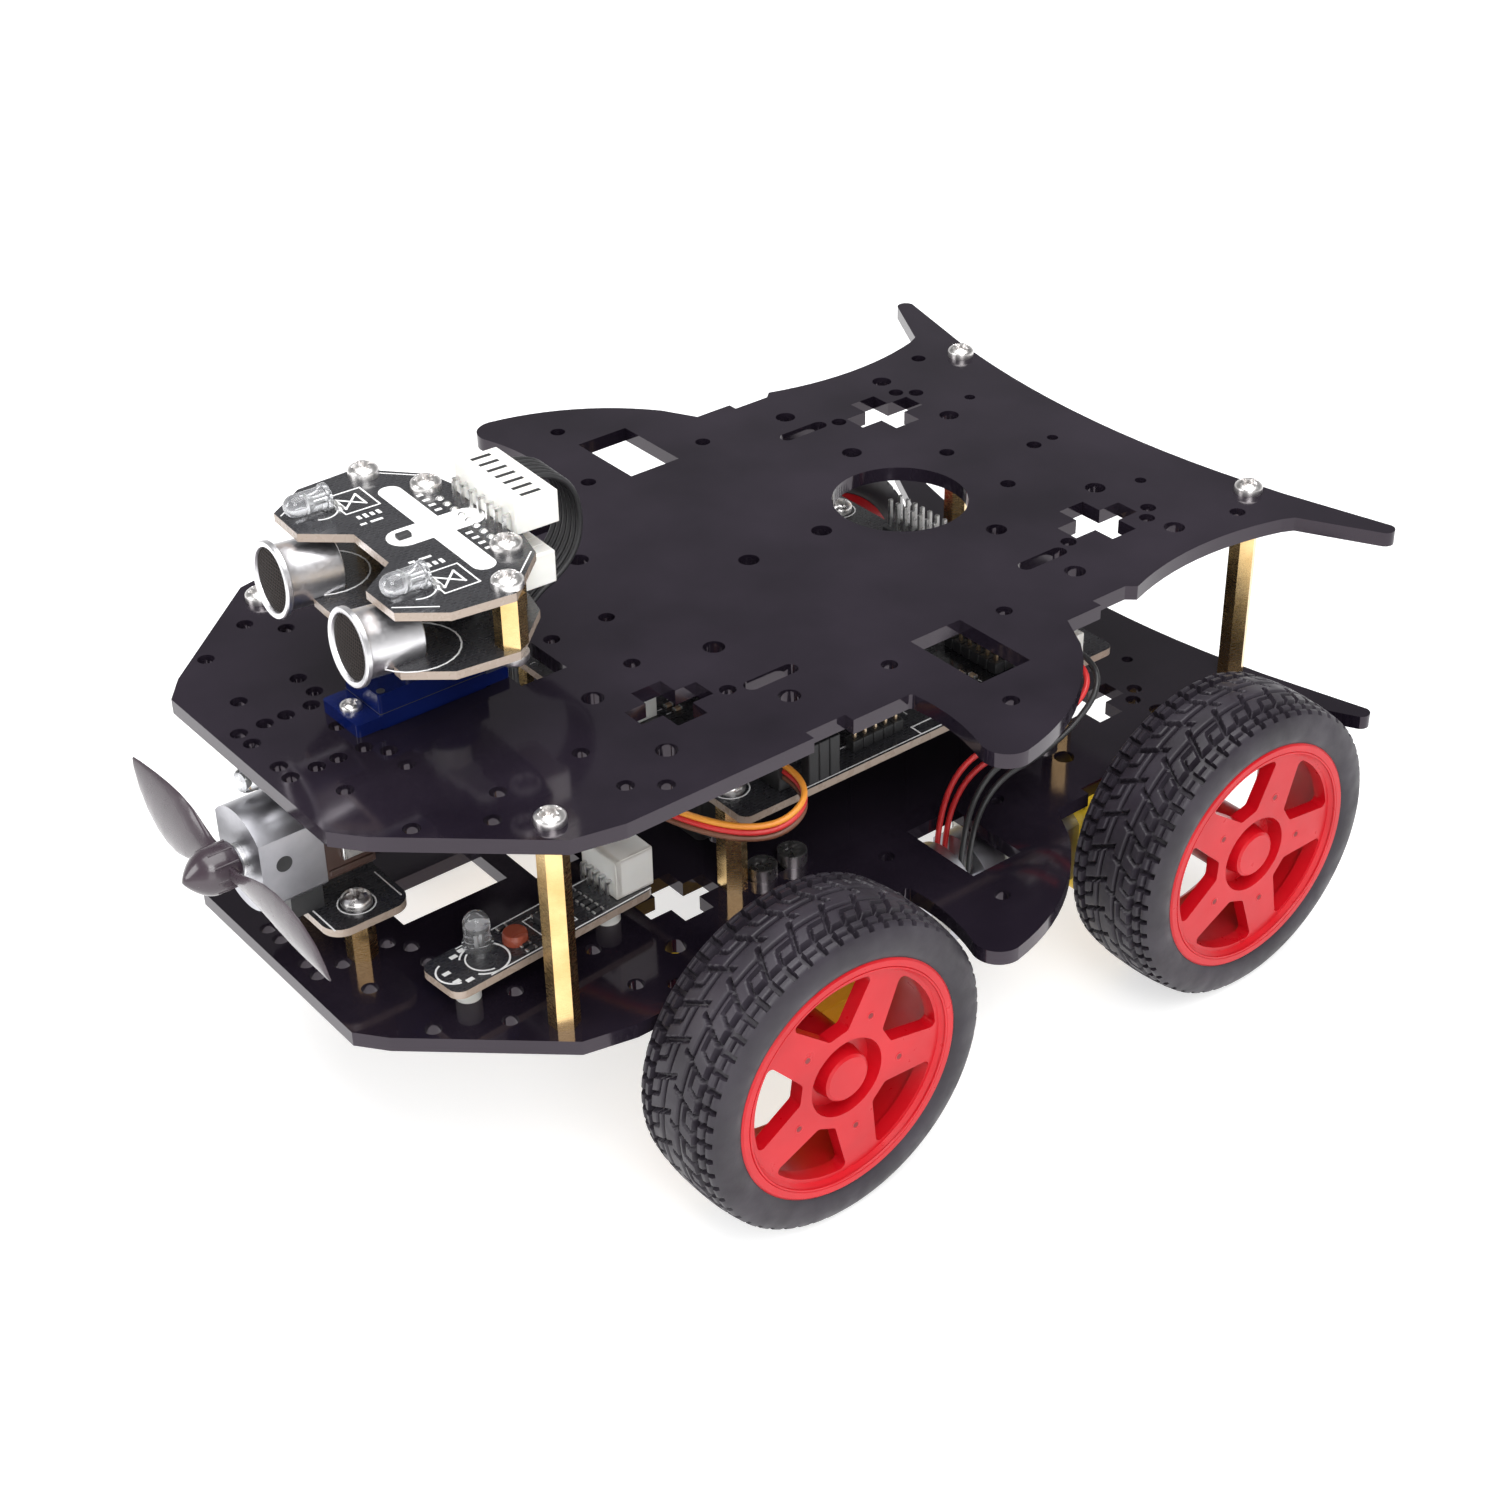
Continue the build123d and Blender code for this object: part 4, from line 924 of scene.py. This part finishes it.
def headers():
    black, pins, hole_shade, bright = Build(), Build(), Build(), Build()
    header(black, pins, 94.0, 42.8, 3, 1, 0, male=False)
    header(black, pins, 110.0, 39.6, 5, 1, 0)
    header(black, pins, 145.6, 30.0, 2, 6, 0)
    header(black, pins, 104.0, -40.0, 8, 1, 0, male=False)
    header(black, pins, 128.0, -41.0, 5, 1, 0)
    header(black, pins, 166.0, 22.0, 6, 1, 1)
    black.box(at(86.0, 36.5, board_top + 4.1), (2.55, 10.9, 8.1))
    black.box(at(165.6, -11.0, board_top + 1.6), (5.8, 15.8, 3.2))
    for k in range(7):
        for d in (164.2, 167.0):
            bright.box(at(d, -18.0 + 2.33 * k, board_top + 4.75), (0.75, 0.75, 9.5))
    # Dark squares on the socket strips' tops: painted shade inside their holes
    for d, count, y in ((94.0, 3, 42.8), (104.0, 8, -40.0)):
        for i in range(count):
            hole_d = d - (i - (count - 1) / 2) * PIN_PITCH
            hole_shade.box(at(hole_d, y, board_top + 8.45), (0.9, 0.9, 0.14))
    black.done("controller_strips", BODY, "header", 0.22, stands_for=["controller_headers"])
    pins.done("controller_pins", BODY, "gold", 0.08)
    bright.done("controller_rear_pins", BODY, "solder", 0.08)
    hole_shade.done("controller_strip_hole_shade", BODY, "chip")


connectors()
headers()


# ---- Controller board

def controller_parts():
    z = board_top
    bodies, leads, parts, ends, silk = Build(), Build(), Build(), Build(), Build()
    # Square processor, flat packages and the two drivers near each side: d, y, size x, size y, height
    flat = [(112.0, 6.0, 12.0, 12.0, 1.6), (96.0, 18.0, 8.0, 5.0, 1.7), (96.0, -4.0, 7.0, 9.0, 2.4)]
    for s in BOTH:
        flat += [(133.0, s * 24.0, 9.0, 5.5, 1.8), (122.0, s * 30.0, 5.0, 4.0, 1.5)]
    flat += [(138.0, 0.0, 10.0, 9.0, 4.5), (152.0, -30.0, 7.0, 6.5, 2.3)]
    for d, y, sx, sy, h in flat:
        bodies.box(at(d, y, z + h / 2), (sx - 0.9, sy - 0.9, h - 0.05))
        count = int((sx - 1.5) / CHIP_PITCH)
        for i in range(count + 1):
            x = (i - count / 2) * CHIP_PITCH
            for s in BOTH:
                leads.box(at(d, y + s * (sy / 2 - 0.3), z + 0.3) + Vector((x, 0, 0)), (0.45, 1.4, 0.5))
        line_y = y - sy / 2 - 1.2
        silk.strip([(nose - d - sx / 2 - 0.6, line_y), (nose - d + sx / 2 + 0.6, line_y)], 0.25, z)
    # Small resistors and capacitors in loose rows
    for _ in range(86):
        d = random.uniform(78, 165)
        y = random.uniform(-36, 36)
        if any(abs(d - f[0]) < f[2] / 2 + 2.2 and abs(y - f[1]) < f[3] / 2 + 2.2 for f in flat):
            continue
        if any(math.hypot(d - bolt_d, abs(y) - bolt_y) < 5.0 for bolt_d, bolt_y in BOARD_BOLTS):
            continue
        if abs(d - 145.6) < 4.5 and 20 < y < 40 or d < 85 and -13 < y < 8 or d > 160 and y < -1:
            continue
        turn = random.choice((0.0, math.pi / 2))
        along = Vector((math.cos(turn), math.sin(turn), 0))
        spot = at(d, y, z)
        parts.box(spot + Vector((0, 0, 0.35)), (1.2, 0.95, 0.6), turn)
        for s in BOTH:
            ends.box(spot + along * (s * 0.75) + Vector((0, 0, 0.33)), (0.4, 1.0, 0.62), turn)
        silk.strip([tuple((spot + along * 1.6).xy), tuple((spot + along * 2.5).xy)], 0.22, z)
    bodies.done("controller_packages", BODY, "chip", 0.25, stands_for=["controller_chips"])
    leads.done("controller_leads", BODY, "solder", 0.08)
    parts.done("controller_small_parts", BODY, "ceramic", 0.1)
    ends.done("controller_part_ends", BODY, "solder", 0.08)
    # Printed outlines beside the plugs and along the edges
    for s in BOTH:
        y = s * 42.6
        frame_corners = [(118, -1.6), (125, -1.6), (125, 1.4), (118, 1.4)]
        silk.strip([(nose - d, y + offset) for d, offset in frame_corners], 0.3, z, close=True)
        silk.strip([(nose - 100.5, s * 38.0), (nose - 117.5, s * 38.0)], 0.25, z)
        silk.strip([(nose - 128, s * 38.8), (nose - 146, s * 38.8)], 0.25, z)
        for bolt_d, bolt_y in BOARD_BOLTS:
            silk.ring((nose - bolt_d, s * bolt_y), 3.6, 0.25, z)
    silk.strip([(nose - 88, 44.0), (nose - 142, 44.0)], 0.2, z)
    silk.done("controller_legend", BODY, "silk")
    cans, feet = Build(), Build()
    can = [(0, 7.6), (2.2, 7.6), (2.9, 7.2), (3.15, 6.6), (3.15, 0.6), (2.9, 0.2), (2.9, 0)]
    for d, y in ((148.0, 12.0), (148.0, -14.0), (128.0, -12.0)):
        cans.lathe(can, at(d, y, z), (0, 0, 1), 36)
        feet.box(at(d, y, z + 0.4), (6.6, 6.6, 0.8))
    cans.done("controller_capacitors", BODY, "can")
    feet.done("controller_capacitor_feet", BODY, "header", 0.3)


controller_parts()


# ---- Servo, battery, fan board

def servo_details():
    body_hi = at(24.0, 0, 0).x
    body_lo = at(46.5, 0, 0).x
    mid_x = (body_hi + body_lo) / 2
    label = Build()
    for s in BOTH:
        label.box((mid_x, s * 6.02, deck_up_under - 5.5), (17.0, 0.08, 9.0))
    label.done("servo_label", BODY, "label", 0.02)
    seams = Build()
    for z in (deck_up_top + 2.9, deck_up_top - 12.6):
        seams.box((mid_x, 0, z), (22.56, 12.06, 0.16))
    for x in (body_lo + 1.2, body_hi - 1.2):
        for s in BOTH:
            seams.rod((x, s * 4.8, deck_up_top + 6.75), (x, s * 4.8, deck_up_top + 6.95), 0.8, sides=16)
    seams.done("servo_seams", BODY, "header", 0.03)
    rib = Build(head_frame)
    rib_foot = (0, 0, low("head_lower_board").z - 2.6)
    rib.lathe([(0, 0.0), (0.5, -0.5), (1.6, -0.4), (1.9, 0.4)], rib_foot, (0, 0, 1), 24)
    rib.done("horn_rib", HEAD, "nylon")


def battery_details():
    lo, hi = low("battery_box"), high("battery_box")
    mid = (lo + hi) / 2
    cell_y = 9.6
    ribs = Build()
    for s in BOTH:
        for k in range(5):
            x = lo.x + 8 + k * (hi.x - lo.x - 16) / 4
            ribs.box((x, s * (hi.y + 0.1), mid.z), (1.0, 0.5, hi.z - lo.z - 3.0))
        ribs.box((mid.x, s * (hi.y + 0.05), hi.z - 1.0), (hi.x - lo.x - 6.0, 0.5, 1.0))
    ribs.done("battery_box_ribs", BODY, "holder", 0.15)
    springs = Build()
    for s in BOTH:
        for k in range(4):
            coil = [(1.5 + 0.7 * k, 0), (1.8 + 0.7 * k, 0.25), (2.1 + 0.7 * k, 0)]
            springs.lathe(coil, (lo.x + 1.8 + 0.5 * k, s * cell_y, mid.z), (1, 0, 0), 24)
    springs.done("battery_springs", BODY, "solder")
    bands = Build()
    band = [(9.22, 0), (9.28, 0.2), (9.28, 2.2), (9.22, 2.4)]
    for s in BOTH:
        bands.lathe(band, (mid.x + 27, s * cell_y, mid.z + 1.3), (1, 0, 0), 48)
    bands.done("battery_cell_bands", BODY, "holder")


def fan_board_details():
    silk = Build()
    z = fan_board_top
    silk.strip([(nose - 6.0, -13.6), (nose - 6.0, 13.6)], 0.3, z)
    bolt_d, bolt_y = FAN_BOARD_BOLTS[0]
    for s in BOTH:
        silk.ring((nose - bolt_d, s * bolt_y), 3.5, 0.25, z)
        silk.strip([(nose - 20.8, s * 3.0), (nose - 20.8, s * 12.0)], 0.25, z)
    silk.done("fan_board_legend", BODY, "silk")


servo_details()
battery_details()
fan_board_details()


# ---- Nose lamp

nose_lamp_y, nose_lamp_z = -4.0, deck_up_under - 3.2
nose_lens, nose_metal = Build(), Build()
lamp(nose_lens, nose_metal, (nose - 5.2, nose_lamp_y, nose_lamp_z), (1, 0, 0), r=2.4, length=6.0)
nose_lens.done("nose_lamp_lens", BODY, "clear")
nose_metal.done("nose_lamp_frame", BODY, "solder")
collar = Build()
collar.box((nose - 7.2, nose_lamp_y, nose_lamp_z), (4.0, 5.6, 5.6))
collar.done("nose_lamp_holder", BODY, "header", 0.4)


# ---- Pan head

def head_boards():
    silk = Build(head_frame)
    z = head_top
    # Solid cross with round ends, printed on the upper board
    quarter = [math.pi * k / 12 for k in range(13)]
    cross = [(2.2 * math.cos(t), 16.4 + 2.2 * math.sin(t)) for t in quarter] + [(-2.2, 3.2)]
    cross += [(-6.3 - 3.2 * math.sin(t), 3.2 * math.cos(t)) for t in quarter] + [(-2.2, -3.2)]
    cross += [(-2.2 * math.cos(t), -16.4 - 2.2 * math.sin(t)) for t in quarter] + [(2.2, -3.2)]
    cross += [(6.3 + 3.2 * math.sin(t), -3.2 * math.cos(t)) for t in quarter] + [(2.2, 3.2)]
    silk.plate([(u - 1.0, v) for u, v in cross], z, z + 0.07)
    for s in BOTH:
        silk.strip([(2.6, s * 13.6), (9.4, s * 13.6), (9.4, s * 21.4), (2.6, s * 21.4)], 0.3, z, close=True)
        for k in range(4):
            silk.patch((4.2 + 1.3 * k, s * 11.2), (0.7, 1.5 - 0.3 * (k % 2)), z)
            silk.patch((-4.6, s * (5.4 + 2.2 * k)), (1.3, 0.7), z)
        silk.ring((12.6, s * 17.5), 3.2, 0.3, z, 60, 300)
        # Box without its long sides, crossed by both diagonals
        back, front, near, far = 4.4, 8.4, s * 15.4, s * 19.6
        for line in ([(back, near), (front, far)], [(back, far), (front, near)],
                     [(back, near), (back, far)], [(front, near), (front, far)]):
            silk.strip(line, 0.4, z)
        silk.strip([(-9.6, s * 17.8), (0.2, s * 27.4)], 0.25, z)
        silk.strip([(12.4, s * 24.6), (18.8, s * 20.2)], 0.25, z)
        silk.patch((6.0, s * 8.6), (2.4, 0.6), z)
        silk.patch((8.6, s * 8.6), (1.2, 0.6), z)
        silk.ring((13.7, s * 16.2), 8.2, 0.3, head_low_top)
    silk.done("head_legend", HEAD, "silk")
    pads = Build(head_frame)
    for s in BOTH:
        for v in (16.3, 18.8):
            pads.lathe([(0.9, 0), (0.5, 0.5), (0, 0.6)], (9.2, s * v, z), (0, 0, 1), 16)
            pads.rod((9.2, s * v, z + 0.3), (11.0, s * v * 0.985, z + 2.4), 0.28, sides=8)
    for k in range(8):
        pads.lathe([(0.8, 0), (0.45, 0.35), (0, 0.45)], (-6.9, -8.9 + 2.54 * k, z), (0, 0, 1), 14)
    pads.done("head_pads", HEAD, "solder")
    chips = Build(head_frame)
    chips.box((2.0, -9.5, head_low_top + 0.8), (6.0, 4.0, 1.5))
    chips.box((2.0, 9.5, head_low_top + 0.8), (6.0, 4.0, 1.5))
    chips.box((5.4, 0.0, z + 0.5), (2.6, 1.6, 0.9))
    chips.done("head_chips", HEAD, "chip", 0.2)
    lens_build, metal_build = Build(head_frame), Build(head_frame)
    for v in (17.5, -17.5):
        lamp(lens_build, metal_build, (10.8, v, z + 2.6), (1, 0, -0.01), r=2.1, length=8.5)
    lens_build.done("head_lenses", HEAD, "clear", stands_for=["head_leds"])
    metal_build.done("head_lamp_frames", HEAD, "solder")


def transducer_details():
    tilt = math.radians(4.0)
    out = Vector((math.cos(tilt), 0, math.sin(tilt)))
    # Section from the middle of the back over the outside to the rolled front rim
    cup = [(0, -12.05), (4.9, -12.05), (5.2, -12.0), (5.7, -12.0), (6.05, -11.7), (6.1, -3.4)]
    cup += [(6.15, -2.2), (6.3, -1.5), (6.8, -1.3), (7.15, -1.0), (7.15, -0.25), (6.95, -0.03)]
    cup += [(6.3, 0.0), (6.05, -0.15), (5.9, -0.7)]
    domed_screen = [(6.0, -0.75), (5.2, -0.5), (3.6, -0.32), (1.8, -0.22), (0, -0.2)]
    cups, screens = Build(head_frame), Build(head_frame)
    for v in (14.4, -14.4):
        face = Vector((25.1, v, 113.0))
        cups.lathe(cup, face, out, 64)
        screens.lathe(domed_screen, face, out, 48)
        for pin in (-2.5, 2.5):
            cups.box((12.15, v + pin, head_low_top + 1.4), (0.6, 0.6, 2.8))
            cups.box((12.7, v + pin, head_low_top + 2.4), (1.6, 0.6, 0.6))
    cups.done("transducer_cups", HEAD, "rim_ring", stands_for=["transducers"])
    screens.done("transducer_screens", HEAD, "screen")


head_boards()
transducer_details()


# ---- Leads

WIRE_RADIUS = 0.6


def wire_curve(name, points, look):
    """Round wire on a smooth line through given millimetre points."""
    curve = bpy.data.curves.new(name, "CURVE")
    curve.dimensions = "3D"
    curve.bevel_depth = WIRE_RADIUS * MM
    curve.bevel_resolution = 4
    curve.use_fill_caps = True
    spline = curve.splines.new("NURBS")
    spline.points.add(len(points) - 1)
    for point, spot in zip(spline.points, points):
        point.co = (*(Vector(spot) * MM), 1)
    spline.order_u = 3
    spline.use_endpoint_u = True
    spline.resolution_u = 10
    curve.materials.append(LOOKS[look])
    return new_object(name, curve)


# Servo lead: distance behind the front edge, y and z
servo_path = [(46.5, 3.4, 75.2), (56.5, 3.4, 75.2), (61, 34, 70.5)]
servo_path += [(74, 52, 67.6), (86, 52, 72.6), (86, 42, 72.6)]
for k, look in zip((-1, 0, 1), ("brown", "wire_red", "orange")):
    points = [at(d, y, z + 1.3 * k) for d, y, z in servo_path]
    claim(wire_curve(f"servo_lead_{k + 2}", points, look), BODY, ["servo_lead"])

# Motor wires: d and y where they leave the lower deck, top of the rise, a middle point, d at the plug
motor_wires = [(122.2, 44.5, 58.0, 141.0, 50.2, 63.2, 150.5), (122.2, 51.5, 58.0, 143.0, 52.6, 61.6, 153.0)]
motor_wires += [(124.3, 44.5, 55.5, 146.0, 50.2, 60.0, 155.5), (124.3, 51.5, 55.5, 148.0, 52.6, 58.4, 158.0)]
wire_z = board_top + 3.2
for side, s in SIDES:
    for k, (d0, y0, z1, d2, y2, z2, d3) in enumerate(motor_wires):
        way = [(d0, y0, 37.0), (d0, y0, z1), (d2, y2, z2), (d3, 54.4, wire_z), (d3, 44.6, wire_z)]
        look = ("wire_red", "black_wire")[k % 2]
        wire = wire_curve(f"{side}_motor_wire_{k + 1}", [at(d, s * y, z) for d, y, z in way], look)
        claim(wire, BODY, [f"{side}_motor_wires"])

# Head cable: x from the pan axis and z, from the head's plug down through the upper deck
plug_z = head_top + 3.2
cable_path = [(-19.5, plug_z), (-29.5, plug_z), (-31.5, 106.0), (-14.8, 98.0), (-14.8, 72.0), (-34.9, 72.0)]
for k in range(6):
    v = -8.6 + 1.6 * k
    points = [head_frame @ Vector((u, v, z)) for u, z in cable_path]
    wire = wire_curve(f"head_wire_{k + 1}", points, "black_wire")
    bpy.context.view_layer.update()
    mesh = bpy.data.meshes.new_from_object(wire.evaluated_get(bpy.context.evaluated_depsgraph_get()))
    mesh.shade_smooth()
    cable = new_object(f"head_cable_{k + 1}", mesh)
    bpy.data.objects.remove(wire)
    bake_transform(cable)
    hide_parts("head_cable")


# ---- Stage, light, camera

def stage():
    bpy.ops.mesh.primitive_plane_add(size=14, location=(0, 0, -0.0002))
    floor = bpy.context.object
    floor.name = "floor"
    white = (1, 1, 1, 1)
    mat, tree, bsdf = shader("floor", (0.60, 0.60, 0.60), 0.8, Emission_Color=white, Emission_Strength=0.62)
    vary_colour(tree, bsdf, noise(tree, 3), (0.59, 0.59, 0.59), (0.62, 0.62, 0.62))
    floor.data.materials.append(mat)
    world = bpy.data.worlds.new("world")
    world.use_nodes = True
    sky = world.node_tree
    coord = add_node(sky, "TexCoord")
    split = add_node(sky, "SeparateXYZ", Vector=coord.outputs["Generated"])
    greys = [(0.0, 0.95), (0.22, 0.62), (0.36, 0.30), (0.60, 0.22), (1.0, 0.5)]
    shade = ramp(sky, split.outputs["Z"], [(place, (grey, grey, grey)) for place, grey in greys])
    sky.links.new(shade, sky.nodes["Background"].inputs["Color"])
    sky.nodes["Background"].inputs["Strength"].default_value = 0.95
    bpy.context.scene.world = world


def soft_light(name, place, size, power):
    """Square light aimed at the middle of the robot."""
    aim = Vector((0, 0, 0.05))
    data = bpy.data.lights.new(name, "AREA")
    data.size = size
    data.energy = power
    light = new_object(name, data)
    light.location = place
    light.rotation_euler = (aim - Vector(place)).to_track_quat("-Z", "Y").to_euler()


def camera():
    """Camera of the photo's view; back points from the robot to the eye."""
    azimuth, elevation, roll = (math.radians(a) for a in (52.11, 33.33, -1.17))
    eye = (0.26044, 0.34703, 0.33473)
    level = math.cos(elevation)
    back = Vector((level * math.cos(azimuth), level * math.sin(azimuth), math.sin(elevation)))
    right = (-back).cross(Vector((0, 0, 1))).normalized()
    up = right.cross(-back)
    x = right * math.cos(roll) + up * math.sin(roll)
    y = up * math.cos(roll) - right * math.sin(roll)
    data = bpy.data.cameras.new("camera")
    data.lens = 61.70
    data.sensor_width = 36.0
    data.clip_start = 0.01
    camera_object = new_object("camera", data)
    camera_object.matrix_world = Matrix.Translation(eye) @ Matrix((x, y, back)).transposed().to_4x4()
    bpy.context.scene.camera = camera_object


stage()
soft_light("top", (0, 0.1, 1.1), 1.1, 15)
soft_light("key", (0.35, 0.8, 0.9), 0.6, 8)
soft_light("nose", (0.9, -0.3, 0.5), 0.5, 4)
soft_light("low_side", (0.45, 0.85, 0.22), 0.5, 1.3)
camera()
bpy.context.scene.view_settings.view_transform = "Standard"
